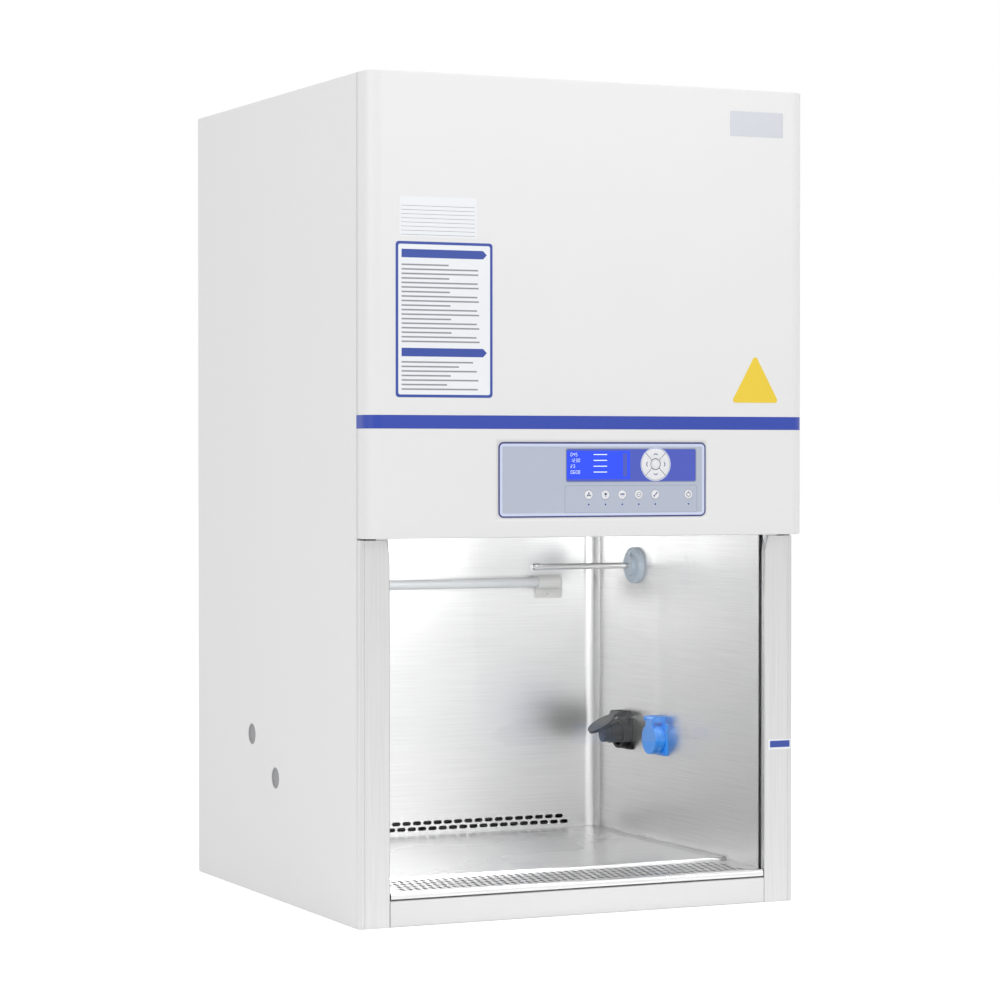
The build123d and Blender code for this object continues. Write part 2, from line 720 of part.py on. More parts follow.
# Wheel: forward-curved blades between a disc and a ring, on a stub shaft
wheel_gap = (scroll_depth - wheel_width) / 2
wheel_back = scroll_back - wheel_gap
wheel_front = wheel_back - wheel_width
with BuildSketch() as blade:
    with BuildLine():
        ThreePointArc((blade_inner_radius, 0), ((blade_inner_radius + wheel_radius) / 2, 3),
                      (wheel_radius - blade_thickness, wheel_radius / 9))
    trace(line_width=blade_thickness)
with BuildPart() as impeller:
    with BuildSketch(facing_front(wheel_back, z=blower_z)):
        with PolarLocations(0, blade_count):
            add(blade.sketch)
    extrude(amount=wheel_width)
    with BuildSketch(facing_front(wheel_back, z=blower_z)):
        Circle(wheel_radius)
        Circle(blade_inner_radius, mode=Mode.SUBTRACT)
    extrude(amount=2 * sheet)
    with BuildSketch(facing_front(wheel_front + 2 * sheet, z=blower_z)):
        Circle(wheel_radius)
    extrude(amount=2 * sheet)
    with BuildSketch(facing_front(wheel_front + 4 * motor_shaft_radius, z=blower_z)):
        Circle(2 * motor_shaft_radius)
    extrude(amount=4 * motor_shaft_radius + wheel_gap / 2)
    with BuildSketch(facing_front(wheel_front, z=blower_z)):
        Circle(motor_shaft_radius)
    extrude(amount=wheel_gap + 4 * motor_shaft_radius)
impeller.part.label = "impeller"
export_step(impeller.part, "parts/impeller.step")

# Box of the electronics on the plenum, with a lid and two cable glands
box_width = 85.0
box_depth = 250.0
box_height = 72.0
box_x = -air_half + 6 + box_width / 2
box_y = 25.0
gland_radius = 11.0
gland_length = 14.0
with BuildPart() as control_box:
    with BuildSketch(Plane.XY.offset(z_plenum_top)):
        with Locations((box_x, box_y)):
            RectangleRounded(box_width, box_depth, 4)
    extrude(amount=box_height)
    with BuildSketch(Plane.XY.offset(z_plenum_top + box_height)):
        with Locations((box_x, box_y)):
            RectangleRounded(box_width + 4, box_depth + 4, 6)
    extrude(amount=2 * sheet)
    with BuildSketch(facing_front(box_y + box_depth / 2, z=z_plenum_top)):
        with Locations((box_x - box_width / 4, box_height / 2), (box_x + box_width / 4, box_height / 2)):
            RegularPolygon(gland_radius, 6)
    extrude(amount=-gland_length)
control_box.part.label = "control_box"
export_step(control_box.part, "parts/control_box.step")

# Work lamp in front of the supply filter, hidden behind the cover
lamp_box_depth = 28.0
lamp_box_height = 24.0
lamp_box_edge = 5.0
work_lamp_inset = 35.0  # from the chamber wall
work_tube_drop = 3.0  # tube axis below the diffuser
lamp_foot_rim = 6.0
work_lamp_half = chamber_half - work_lamp_inset
work_tube_z = ceiling - work_tube_drop
work_tube_y = y_plenum - lamp_box_depth / 2
with BuildPart() as work_lamp:
    with BuildSketch(Plane.XY.offset(z_filter)):
        with Locations((0, work_tube_y)):
            Rectangle(2 * work_lamp_half, lamp_box_depth)
    extrude(amount=lamp_box_height)
    chamfer(work_lamp.edges().group_by(Axis.Z)[0].filter_by(Axis.X), lamp_box_edge)
    with BuildSketch(facing_right(-work_lamp_half)):
        with Locations((work_tube_y, work_tube_z)):
            Circle(lamp_radius)
    extrude(amount=2 * work_lamp_half)
    for side in (-1, 1):
        with BuildSketch(facing_right(side * work_lamp_half)):
            with Locations((work_tube_y, (work_tube_z - lamp_radius + z_filter) / 2)):
                RectangleRounded(2.6 * lamp_radius, z_filter - work_tube_z + lamp_radius + lamp_foot_rim,
                                 lamp_radius / 2)
        extrude(amount=-side * 2 * lamp_radius)
work_lamp.part.label = "work_lamp"
export_step(work_lamp.part, "parts/work_lamp.step")

# Germicidal tube on the back wall
lamp_y = y_wall - lamp_standoff
tube_half = lamp_half_length + 6
with BuildPart() as lamp_tube:
    with BuildSketch(facing_right(-tube_half)):
        with Locations((lamp_y, lamp_z)):
            Circle(lamp_radius)
    extrude(amount=2 * tube_half)
lamp_tube.part.label = "lamp_tube"
export_step(lamp_tube.part, "parts/lamp_tube.step")

# Two holders of the tube: sleeve, foot and a screwed plate
with BuildPart() as lamp_holders:
    for side in (-1, 1):
        sleeve_start = side * (lamp_half_length - 4)
        sleeve_end = side * (lamp_half_length - 4 + holder_length)
        with BuildSketch(facing_right(sleeve_start)):
            with Locations((lamp_y, lamp_z)):
                Circle(holder_radius)
        sleeve = extrude(amount=side * holder_length)
        chamfer(sleeve.edges().sort_by(Axis.X)[-1 if side > 0 else 0], 3)
        plate_x = sleeve_start + side * (holder_plate_width / 2 + 4)
        with BuildSketch(facing_front(y_wall)):
            with Locations((plate_x, lamp_z - 7)):
                RectangleRounded(holder_plate_width, holder_plate_height, 2)
        extrude(amount=holder_plate_thickness)
        with BuildSketch(facing_front(y_wall - holder_plate_thickness)):
            with Locations((plate_x, lamp_z)):
                Rectangle(holder_plate_width / 2, 1.4 * holder_radius)
            with Locations((plate_x, lamp_z - 7 - holder_plate_height / 3)):
                Circle(3)
        extrude(amount=2)
        with BuildSketch(facing_front(y_wall - holder_plate_thickness)):
            with Locations((plate_x, lamp_z)):
                Rectangle(holder_plate_width / 2, 1.4 * holder_radius)
        extrude(amount=lamp_standoff - holder_plate_thickness)
        with BuildSketch(facing_right(sleeve_start)):
            with Locations((lamp_y, lamp_z)):
                Circle(lamp_radius + seat_gap)
        extrude(amount=side * (tube_half - lamp_half_length + 4 + seat_gap), mode=Mode.SUBTRACT)
lamp_holders.part.label = "lamp_holders"
export_step(lamp_holders.part, "parts/lamp_holders.step")

# Flange of the airflow probe: stepped disc with a clamping screw
with BuildPart() as probe_flange:
    with BuildSketch(facing_right(chamber_half)):
        with Locations((probe_y, probe_z)):
            Circle(probe_flange_radius)
    extrude(amount=-probe_flange_thickness)
    chamfer(probe_flange.edges().sort_by(Axis.X)[0], 1.5)
    with BuildSketch(facing_right(chamber_half - probe_flange_thickness)):
        with Locations((probe_y, probe_z)):
            Circle(probe_boss_radius)
    extrude(amount=-probe_boss_length)
    with BuildSketch(Plane.XY.offset(probe_z)):
        with Locations((chamber_half - probe_flange_thickness - probe_boss_length / 2, probe_y)):
            Circle(2.4)
    extrude(amount=probe_boss_radius + 5)
    with BuildSketch(facing_right(chamber_half)):
        with Locations((probe_y, probe_z)):
            Circle(probe_rod_radius + bearing_clearance)
    extrude(amount=-probe_flange_thickness - probe_boss_length, mode=Mode.SUBTRACT)
probe_flange.part.label = "probe_flange"
export_step(probe_flange.part, "parts/probe_flange.step")

# Rod of the probe, with its sensing tip
with BuildPart() as probe_rod:
    with BuildSketch(facing_right(chamber_half)):
        with Locations((probe_y, probe_z)):
            Circle(probe_rod_radius)
    extrude(amount=-probe_reach + probe_tip_length)
    with BuildSketch(facing_right(chamber_half - probe_reach + probe_tip_length)):
        with Locations((probe_y, probe_z)):
            Circle(probe_rod_radius + 0.8)
    extrude(amount=-probe_tip_length)
    chamfer(probe_rod.edges().sort_by(Axis.X)[0], 2)
probe_rod.part.label = "probe_rod"
export_step(probe_rod.part, "parts/probe_rod.step")

# Chamber outlets: flange, round body with a recess and pin holes, and the ears of the flap
lid_gap = seat_gap
lid_axis_x = x_outlet - 2
lid_back = x_outlet - lid_gap
ear_radius = lid_knuckle_radius + 0.8
ear_width = 5.0
ear_y = lid_knuckle_length / 2 + seat_gap + ear_width / 2
screw_pitch = 40.0


def outlet_socket(y):
    # One outlet on the right wall with its middle at depth y.
    wall = facing_right(chamber_half)
    with BuildPart() as socket:
        with BuildSketch(wall):
            with Locations((y, outlet_z)):
                RectangleRounded(outlet_flange, outlet_flange, 4)
        extrude(amount=-outlet_flange_thickness)
        with BuildSketch(wall.offset(-outlet_flange_thickness)):
            with Locations((y, outlet_z)):
                Circle(outlet_radius)
        extrude(amount=outlet_flange_thickness - outlet_length)
        with BuildSketch(wall):
            with Locations((y, outlet_z)):
                Circle(outlet_back_radius - bearing_clearance)
        extrude(amount=outlet_back_depth)
        for ear_side in (-1, 1):
            with BuildSketch(facing_front(y + ear_side * ear_y + ear_width / 2, z=outlet_z)):
                with Locations((lid_axis_x, lid_hinge_rise)):
                    Circle(ear_radius)
                with Locations(((lid_axis_x + chamber_half) / 2, lid_hinge_rise)):
                    Rectangle(chamber_half - lid_axis_x, 2 * ear_radius)
                with Locations((chamber_half - outlet_flange_thickness / 2, lid_hinge_rise / 1.5)):
                    Rectangle(outlet_flange_thickness, lid_hinge_rise / 1.5)
            extrude(amount=ear_width)
        with BuildSketch(facing_front(y + 2 * ear_y, z=outlet_z)):
            with Locations((lid_axis_x, lid_hinge_rise)):
                Circle(lid_pin_radius + bearing_clearance)
        extrude(amount=4 * ear_y, mode=Mode.SUBTRACT)
        with BuildSketch(facing_right(x_outlet)):
            with Locations((y, outlet_z)):
                Circle(outlet_bore)
        extrude(amount=outlet_bore_depth, mode=Mode.SUBTRACT)
        with BuildSketch(facing_right(x_outlet)):
            with Locations((y - outlet_pin_pitch / 2, outlet_z), (y + outlet_pin_pitch / 2, outlet_z)):
                Circle(outlet_pin_radius)
        extrude(amount=outlet_bore_depth + outlet_pin_depth, mode=Mode.SUBTRACT)
        with BuildSketch(wall.offset(-outlet_flange_thickness)):
            with Locations((y, outlet_z)):
                with GridLocations(screw_pitch, screw_pitch, 2, 2):
                    Circle(3)
        extrude(amount=-1)
    return socket.part


def outlet_lid(y, open_angle):
    # The flap of the outlet at depth y, turned open about its pins.
    with BuildPart() as lid:
        with BuildSketch(facing_right(lid_back)):
            with Locations((y, outlet_z)):
                Circle(lid_radius)
            with Locations((y, outlet_z + lid_hinge_rise / 2)):
                Rectangle(lid_knuckle_length, lid_hinge_rise)
        extrude(amount=-lid_thickness)
        with BuildSketch(facing_front(y + lid_knuckle_length / 2, z=outlet_z)):
            with Locations((lid_axis_x, lid_hinge_rise)):
                Circle(lid_knuckle_radius)
        extrude(amount=lid_knuckle_length)
        with BuildSketch(facing_front(y + ear_y + ear_width / 2, z=outlet_z)):
            with Locations((lid_axis_x, lid_hinge_rise)):
                Circle(lid_pin_radius)
        extrude(amount=2 * ear_y + ear_width)
    pins = Axis((lid_axis_x, y, outlet_z + lid_hinge_rise), (0, 1, 0))
    return lid.part.rotate(pins, open_angle)


for outlet_y, outlet_name in ((black_outlet_y, "black_socket"), (blue_outlet_y, "blue_socket")):
    body = outlet_socket(outlet_y)
    body.label = outlet_name
    export_step(body, f"parts/{outlet_name}.step")

# The flap of the black outlet rests on the adapter's nose, the blue one is shut
nose_front = lid_axis_x - chamber_half + adapter_reach
nose_under = lid_hinge_rise - adapter_nose_radius
lid_offset = lid_back - lid_axis_x + seat_gap
lid_rest_angle = math.degrees(math.atan2(nose_front, nose_under)
                              + math.asin(lid_offset / math.hypot(nose_front, nose_under)))
black_lid = outlet_lid(black_outlet_y, lid_rest_angle)
black_lid.label = "black_socket_lid"
export_step(black_lid, "parts/black_socket_lid.step")
blue_lid = outlet_lid(blue_outlet_y, 0)
blue_lid.label = "blue_socket_lid"
export_step(blue_lid, "parts/blue_socket_lid.step")

# Adapter plugged into the black outlet: a stepped barrel on two pins
adapter_back = x_outlet + outlet_bore_depth - seat_gap
adapter_front = chamber_half - adapter_reach
pin_clearance = 0.2
with BuildPart() as socket_adapter:
    with BuildSketch(facing_right(adapter_back)):
        with Locations((black_outlet_y, outlet_z)):
            Circle(adapter_radius)
    extrude(amount=adapter_front + adapter_collar - adapter_back)
    with BuildSketch(facing_right(adapter_front + adapter_collar)):
        with Locations((black_outlet_y, outlet_z)):
            Circle(adapter_nose_radius)
    extrude(amount=-adapter_collar)
    adapter_pins = ((black_outlet_y - outlet_pin_pitch / 2, outlet_z),
                    (black_outlet_y + outlet_pin_pitch / 2, outlet_z))
    with BuildSketch(facing_right(adapter_back)):
        with Locations(*adapter_pins):
            Circle(outlet_pin_radius - pin_clearance)
    extrude(amount=outlet_pin_depth - 2)
    with BuildSketch(facing_right(adapter_front)):
        with Locations(*adapter_pins):
            Circle(outlet_pin_radius)
    extrude(amount=10, mode=Mode.SUBTRACT)
socket_adapter.part.label = "socket_adapter"
export_step(socket_adapter.part, "parts/socket_adapter.step")

# Sliding window
with BuildPart() as sash_glass:
    with BuildSketch(Plane.XY.offset(sash_bottom)):
        with Locations((0, y_glass)):
            Rectangle(2 * glass_half, glass_thickness)
    extrude(amount=glass_height)
    chamfer(sash_glass.edges().group_by(Axis.Z)[0].filter_by(Axis.X), 0.8)
sash_glass.part.label = "sash_glass"
export_step(sash_glass.part, "parts/sash_glass.step")

# Guide shoes on the edges of the glass and the two belt clamps on its top edge
shoe_inner = channel_inner + 3
shoe_outer = channel_inner + channel_slot_depth - seat_gap
shoe_depth = channel_slot - 2 * seat_gap
clamp_back = y_belt + clamp_plate + 1
clamp_bottom = sash_top - clamp_height + clamp_plate
with BuildPart() as sash_fittings:
    for side in (-1, 1):
        for shoe_z, shoe_size in ((sash_bottom, shoe_length), (sash_top - shoe_top_length, shoe_top_length)):
            with BuildSketch(Plane.XY.offset(shoe_z)):
                with Locations((side * (shoe_inner + shoe_outer) / 2, y_glass)):
                    Rectangle(shoe_outer - shoe_inner, shoe_depth)
                with Locations((side * (shoe_inner + glass_half) / 2, y_glass)):
                    Rectangle(glass_half - shoe_inner, glass_thickness, mode=Mode.SUBTRACT)
            extrude(amount=shoe_size)
        with BuildSketch(Plane.XY.offset(clamp_bottom)):
            with Locations((side * belt_x, (y_glass - glass_thickness / 2 - clamp_plate + clamp_back) / 2)):
                Rectangle(clamp_width, clamp_back - y_glass + glass_thickness / 2 + clamp_plate)
            with Locations((side * belt_x, y_glass)):
                Rectangle(clamp_width, glass_thickness, mode=Mode.SUBTRACT)
            with Locations((side * belt_x, y_belt - belt_thickness / 2)):
                Rectangle(belt_width + 4 * seat_gap, belt_thickness + 3 * seat_gap, mode=Mode.SUBTRACT)
        extrude(amount=clamp_height - clamp_plate)
        with BuildSketch(Plane.XY.offset(sash_top)):
            with Locations((side * belt_x, (y_glass - glass_thickness / 2 - clamp_plate + clamp_back) / 2)):
                Rectangle(clamp_width, clamp_back - y_glass + glass_thickness / 2 + clamp_plate)
            with Locations((side * belt_x, y_belt - belt_thickness / 2)):
                Rectangle(belt_width + 4 * seat_gap, belt_thickness + 3 * seat_gap, mode=Mode.SUBTRACT)
        extrude(amount=clamp_plate)
sash_fittings.part.label = "sash_fittings"
export_step(sash_fittings.part, "parts/sash_fittings.step")

# Two closed belts that carry the window
belt_run = z_shaft - z_idler
with BuildPart() as sash_belts:
    for side in (-1, 1):
        with BuildSketch(facing_right(side * belt_x - belt_width / 2)):
            with Locations((y_shaft, (z_shaft + z_idler) / 2)):
                SlotCenterToCenter(belt_run, 2 * (pulley_radius + belt_thickness), rotation=90)
                SlotCenterToCenter(belt_run, 2 * pulley_radius, rotation=90, mode=Mode.SUBTRACT)
        extrude(amount=belt_width)
sash_belts.part.label = "sash_belts"
export_step(sash_belts.part, "parts/sash_belts.step")

# Upper shaft with both drive pulleys
pulley_drum = pulley_radius - seat_gap
with BuildPart() as drive_shaft:
    with BuildSketch(facing_right(-chamber_half + 1)):
        with Locations((y_shaft, z_shaft)):
            Circle(shaft_radius)
    extrude(amount=2 * chamber_half - 2)
    for side in (-1, 1):
        with BuildSketch(facing_right(side * belt_x - pulley_width / 2)):
            with Locations((y_shaft, z_shaft)):
                Circle(pulley_drum)
        extrude(amount=pulley_width)
        for rim_x in (side * belt_x - pulley_width / 2, side * belt_x + pulley_width / 2 - pulley_rim):
            with BuildSketch(facing_right(rim_x)):
                with Locations((y_shaft, z_shaft)):
                    Circle(pulley_flange)
            extrude(amount=pulley_rim)
drive_shaft.part.label = "drive_shaft"
export_step(drive_shaft.part, "parts/drive_shaft.step")

# Lower pulleys that turn on stub axles
for side, idler_name in ((-1, "left_idler"), (1, "right_idler")):
    with BuildPart() as idler:
        with BuildSketch(facing_right(side * belt_x - pulley_width / 2)):
            with Locations((y_shaft, z_idler)):
                Circle(pulley_drum)
        extrude(amount=pulley_width)
        for rim_x in (side * belt_x - pulley_width / 2, side * belt_x + pulley_width / 2 - pulley_rim):
            with BuildSketch(facing_right(rim_x)):
                with Locations((y_shaft, z_idler)):
                    Circle(pulley_flange)
            extrude(amount=pulley_rim)
        with BuildSketch(facing_right(side * belt_x - pulley_width / 2)):
            with Locations((y_shaft, z_idler)):
                Circle(stub_radius + bearing_clearance)
        extrude(amount=pulley_width, mode=Mode.SUBTRACT)
    idler.part.label = idler_name
    export_step(idler.part, f"parts/{idler_name}.step")

# Bearings of the shaft and the stub axles, all on the chamber walls
bearing_thickness = chamber_half - belt_x - pulley_width / 2 - seat_gap
with BuildPart() as drive_brackets:
    for side in (-1, 1):
        wall = facing_right(side * chamber_half)
        with BuildSketch(wall):
            with Locations((y_shaft, z_shaft)):
                RectangleRounded(bearing_size, bearing_size, 4)
                Circle(shaft_radius + bearing_clearance, mode=Mode.SUBTRACT)
        extrude(amount=-side * bearing_thickness)
        with BuildSketch(wall):
            with Locations((y_shaft, z_idler)):
                Circle(2 * stub_radius)
        extrude(amount=-side * bearing_thickness)
        with BuildSketch(wall):
            with Locations((y_shaft, z_idler)):
                Circle(stub_radius)
        extrude(amount=-side * (bearing_thickness + pulley_width + 2 * seat_gap))
        with BuildSketch(wall.offset(-side * (bearing_thickness + pulley_width + 2 * seat_gap))):
            with Locations((y_shaft, z_idler)):
                RegularPolygon(1.6 * stub_radius, 6)
        extrude(amount=-side * stub_radius)
drive_brackets.part.label = "drive_brackets"
export_step(drive_brackets.part, "parts/drive_brackets.step")

# Gear motor of the shaft, on a foot that is screwed to the front of the plenum
with BuildPart() as sash_gearmotor:
    with BuildSketch(facing_right(motor_x - gearbox / 2)):
        with Locations((y_shaft, z_shaft)):
            Rectangle(gearbox, gearbox)
            Circle(shaft_radius + bearing_clearance, mode=Mode.SUBTRACT)
    extrude(amount=gearbox)
    with BuildSketch(Plane.XY.offset(z_shaft - gearbox / 2)):
        with Locations((motor_x, y_shaft)):
            Circle(motor_radius)
    extrude(amount=-motor_length)
    with BuildSketch(facing_front(y_plenum)):
        with Locations((motor_x, z_plenum_top)):
            Rectangle(1.6 * gearbox, 2 * (z_shaft + gearbox / 2 - z_plenum_top))
    extrude(amount=foot_plate)
    with BuildSketch(facing_front(y_plenum - foot_plate)):
        with Locations((motor_x, z_shaft)):
            Rectangle(gearbox, gearbox)
    extrude(amount=y_plenum - foot_plate - y_shaft - gearbox / 2)
sash_gearmotor.part.label = "sash_gearmotor"
export_step(sash_gearmotor.part, "parts/sash_gearmotor.step")


def cover_plan(z, inset, back):
    # Plan of the cover at height z, drawn in from its outer face by the inset.
    with BuildSketch(Plane.XY.offset(z)) as plan:
        with Locations((0, (y_hood + inset + back) / 2)):
            Rectangle(width - 2 * inset, back - y_hood - inset)
        fillet(plan.vertices().group_by(Axis.Y)[0], hood_corner - inset)
    return plan.sketch


cover_back = y_shell - seam
# Coloured band inlaid round the cover
with BuildPart() as hood_stripe:
    add(cover_plan(stripe_bottom, 0, cover_back))
    extrude(amount=stripe_height)
    add(cover_plan(stripe_bottom, stripe_depth, y_shell))
    extrude(amount=stripe_height, mode=Mode.SUBTRACT)
hood_stripe.part.label = "hood_stripe"
export_step(hood_stripe.part, "parts/hood_stripe.step")

# Front cover: one folded shell, open at the back, with the cut-out of the control panel
with BuildPart() as hood_shell:
    add(cover_plan(hood_bottom, 0, cover_back))
    extrude(amount=height - hood_bottom)
    add(cover_plan(hood_bottom + sheet, sheet, y_shell))
    extrude(amount=height - hood_bottom - 2 * sheet, mode=Mode.SUBTRACT)
    with BuildSketch(Plane.XY.offset(hood_bottom)):
        with Locations((0, (y_hood + hood_lip + y_shell) / 2)):
            Rectangle(width - 2 * sheet, y_shell - y_hood - hood_lip)
    extrude(amount=sheet, mode=Mode.SUBTRACT)
    with BuildSketch(Plane.XY.offset(z_top)):
        with Locations((0, hinge_y)):
            Rectangle(width - 2 * sheet, 2 * (hinge_radius + seam))
    extrude(amount=sheet, mode=Mode.SUBTRACT)
    add(hood_stripe.part, mode=Mode.SUBTRACT)
    with BuildSketch(facing_front(y_hood + sheet)):
        with Locations((panel_x, panel_z)):
            RectangleRounded(panel_width + 2 * panel_gap, panel_height + 2 * panel_gap, panel_corner)
    extrude(amount=2 * sheet, mode=Mode.SUBTRACT)
hood_shell.part.label = "hood_shell"
export_step(hood_shell.part, "parts/hood_shell.step")

# Control panel: plate with a ledge behind the cover, a pocket for the window and key wells
well_depth = key_thickness - key_rise + key_travel + seat_gap
key_places = [(column, key_row_z) for column in key_columns.values()]
with BuildPart() as control_fascia:
    with BuildSketch(facing_front(y_fascia + panel_plate)):
        with Locations((panel_x, panel_z)):
            RectangleRounded(panel_width, panel_height, panel_corner)
    extrude(amount=panel_plate)
    with BuildSketch(facing_front(y_fascia + panel_plate + ledge_thickness)):
        with Locations((panel_x, panel_z)):
            RectangleRounded(panel_width + 2 * panel_ledge, panel_height + 2 * panel_ledge, panel_corner)
    extrude(amount=ledge_thickness)
    with BuildSketch(facing_front(y_fascia + window_thickness)):
        with Locations((window_x, window_z)):
            RectangleRounded(window_width, window_height, window_corner)
    extrude(amount=window_thickness, mode=Mode.SUBTRACT)
    with BuildSketch(facing_front(y_fascia + well_depth)):
        with Locations((pad_x, pad_z)):
            Circle(pad_radius + seat_gap)
        with Locations(*key_places):
            Circle(key_radius + seat_gap)
    extrude(amount=well_depth, mode=Mode.SUBTRACT)
control_fascia.part.label = "control_fascia"
export_step(control_fascia.part, "parts/control_fascia.step")

# Window of the display, with the round opening of the pad
with BuildPart() as display_window:
    with BuildSketch(facing_front(y_fascia + window_thickness)):
        with Locations((window_x, window_z)):
            RectangleRounded(window_width, window_height, window_corner)
        with Locations((pad_x, pad_z)):
            Circle(pad_radius + seat_gap, mode=Mode.SUBTRACT)
    extrude(amount=window_thickness)
display_window.part.label = "display_window"
export_step(display_window.part, "parts/display_window.step")

# Four quarter keys round the middle key of the pad
key_back = y_fascia - key_rise + key_thickness
quarter_shift = pad_split / math.sqrt(2) + pad_radius * math.sqrt(2)
for step_x, step_z, key_name in ((0, 1, "nav_up_key"), (0, -1, "nav_down_key"),
                                 (-1, 0, "nav_left_key"), (1, 0, "nav_right_key")):
    with BuildPart() as quarter_key:
        with BuildSketch(facing_front(key_back)):
            with Locations((pad_x, pad_z)):
                Circle(pad_radius)
                Circle(pad_core, mode=Mode.SUBTRACT)
            with Locations((pad_x + step_x * quarter_shift, pad_z + step_z * quarter_shift)):
                Rectangle(2 * pad_radius, 2 * pad_radius, rotation=45, mode=Mode.INTERSECT)
        extrude(amount=key_thickness)
        chamfer(quarter_key.edges().group_by(Axis.Y)[0], key_edge)
    quarter_key.part.label = key_name
    export_step(quarter_key.part, f"parts/{key_name}.step")

# Middle key of the pad and the row of round keys
round_keys = {"ok_key": (pad_x, pad_z, ok_radius)}
for key_name, column in key_columns.items():
    round_keys[key_name] = (column, key_row_z, key_radius)
for key_name, (key_x, key_z, cap_radius) in round_keys.items():
    with BuildPart() as round_key:
        with BuildSketch(facing_front(key_back)):
            with Locations((key_x, key_z)):
                Circle(cap_radius)
        extrude(amount=key_thickness)
        chamfer(round_key.edges().sort_by(Axis.Y)[0], key_edge)
    round_key.part.label = key_name
    export_step(round_key.part, f"parts/{key_name}.step")

# Top hinge: fixed leaf, pin and three knuckles; moving leaf with two knuckles
knuckle_length = (2 * hinge_half_length - 4 * hinge_cut) / 5
knuckle_pitch = knuckle_length + hinge_cut
leaf_start = hinge_radius + seat_gap
leaf_bottom = z_top - hinge_leaf
for leaf_side, knuckles, hinge_name in ((1, (0, 2, 4), "cover_hinge"), (-1, (1, 3), "cover_hinge_leaf")):
    with BuildPart() as hinge:
        with BuildSketch(Plane.XY.offset(leaf_bottom)):
            with Locations((0, hinge_y + leaf_side * (leaf_start + hinge_leaf_depth / 2))):
                Rectangle(2 * hinge_half_length, hinge_leaf_depth)
            for k in knuckles:
                knuckle_x = -hinge_half_length + knuckle_length / 2 + k * knuckle_pitch
                with Locations((knuckle_x, hinge_y + leaf_side * (leaf_start + seam) / 2)):
                    Rectangle(knuckle_length, leaf_start + seam)
        extrude(amount=hinge_leaf)
        for k in knuckles:
            with BuildSketch(facing_right(-hinge_half_length + k * knuckle_pitch)):
                with Locations((hinge_y, hinge_z)):
                    Circle(hinge_radius)
            extrude(amount=knuckle_length)
        with BuildSketch(facing_right(-hinge_half_length)):
            with Locations((hinge_y, hinge_z)):
                Circle(hinge_pin_radius if leaf_side > 0 else hinge_pin_radius + hinge_bore_gap)
        extrude(amount=2 * hinge_half_length, mode=Mode.ADD if leaf_side > 0 else Mode.SUBTRACT)
    hinge.part.label = hinge_name
    export_step(hinge.part, f"parts/{hinge_name}.step")
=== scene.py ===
import math
import bmesh
import bpy
import numpy as np
from mathutils.geometry import delaunay_2d_cdt
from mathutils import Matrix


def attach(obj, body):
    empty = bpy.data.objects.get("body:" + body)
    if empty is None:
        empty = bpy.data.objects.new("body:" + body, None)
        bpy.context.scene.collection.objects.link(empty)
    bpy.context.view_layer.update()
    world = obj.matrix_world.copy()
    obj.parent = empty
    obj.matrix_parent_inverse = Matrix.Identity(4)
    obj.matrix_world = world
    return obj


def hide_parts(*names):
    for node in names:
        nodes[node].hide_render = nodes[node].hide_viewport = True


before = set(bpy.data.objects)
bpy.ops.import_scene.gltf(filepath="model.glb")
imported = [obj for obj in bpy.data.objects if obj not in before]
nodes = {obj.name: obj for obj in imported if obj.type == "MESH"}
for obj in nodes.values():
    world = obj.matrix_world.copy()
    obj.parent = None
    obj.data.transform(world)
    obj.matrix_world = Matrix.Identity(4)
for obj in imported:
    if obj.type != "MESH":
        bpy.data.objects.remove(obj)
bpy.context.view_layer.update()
scene = bpy.context.scene
mm = 0.001
print("cabinet: frame loaded,", len(nodes), "nodes")

# camera at the photograph's place
cameraView = {"place": (-2.018, -4.437, 0.678), "turn": 24.63, "tilt": -0.85, "lens": 112.3}
cameraData = bpy.data.cameras.new("photoCamera")
cameraData.lens = cameraView["lens"]
cameraData.sensor_width = 36
cameraData.clip_end = 100
camera = bpy.data.objects.new("photoCamera", cameraData)
camera.location = cameraView["place"]
camera.rotation_euler = (math.radians(90 + cameraView["tilt"]), 0, -math.radians(cameraView["turn"]))
scene.collection.objects.link(camera)
scene.camera = camera

# the cabinet's main sizes in millimetres, as in the frame
cabinet = {
    "halfWidth": 355.0, "frontOfCover": -364.0, "frontOfSides": -319.0, "frontOfPosts": -327.0,
    "back": 365.0, "height": 1220.0, "coverBottom": 557.0, "coverBack": -319.5,
    "chamberBack": 250.0, "sill": 50.0, "worktop": 55.0, "ceiling": 575.0,
}


# node groups and materials

def newGroup(name, inputs, outputs):
    # Shader group with named inputs (name, kind, value) and named outputs (name, kind).
    group = bpy.data.node_groups.new(name, "ShaderNodeTree")
    for label, kind, value in inputs:
        socket = group.interface.new_socket(name=label, in_out="INPUT", socket_type=kind)
        socket.default_value = value
    for label, kind in outputs:
        group.interface.new_socket(name=label, in_out="OUTPUT", socket_type=kind)
    start = group.nodes.new("NodeGroupInput")
    end = group.nodes.new("NodeGroupOutput")
    return group, start, end


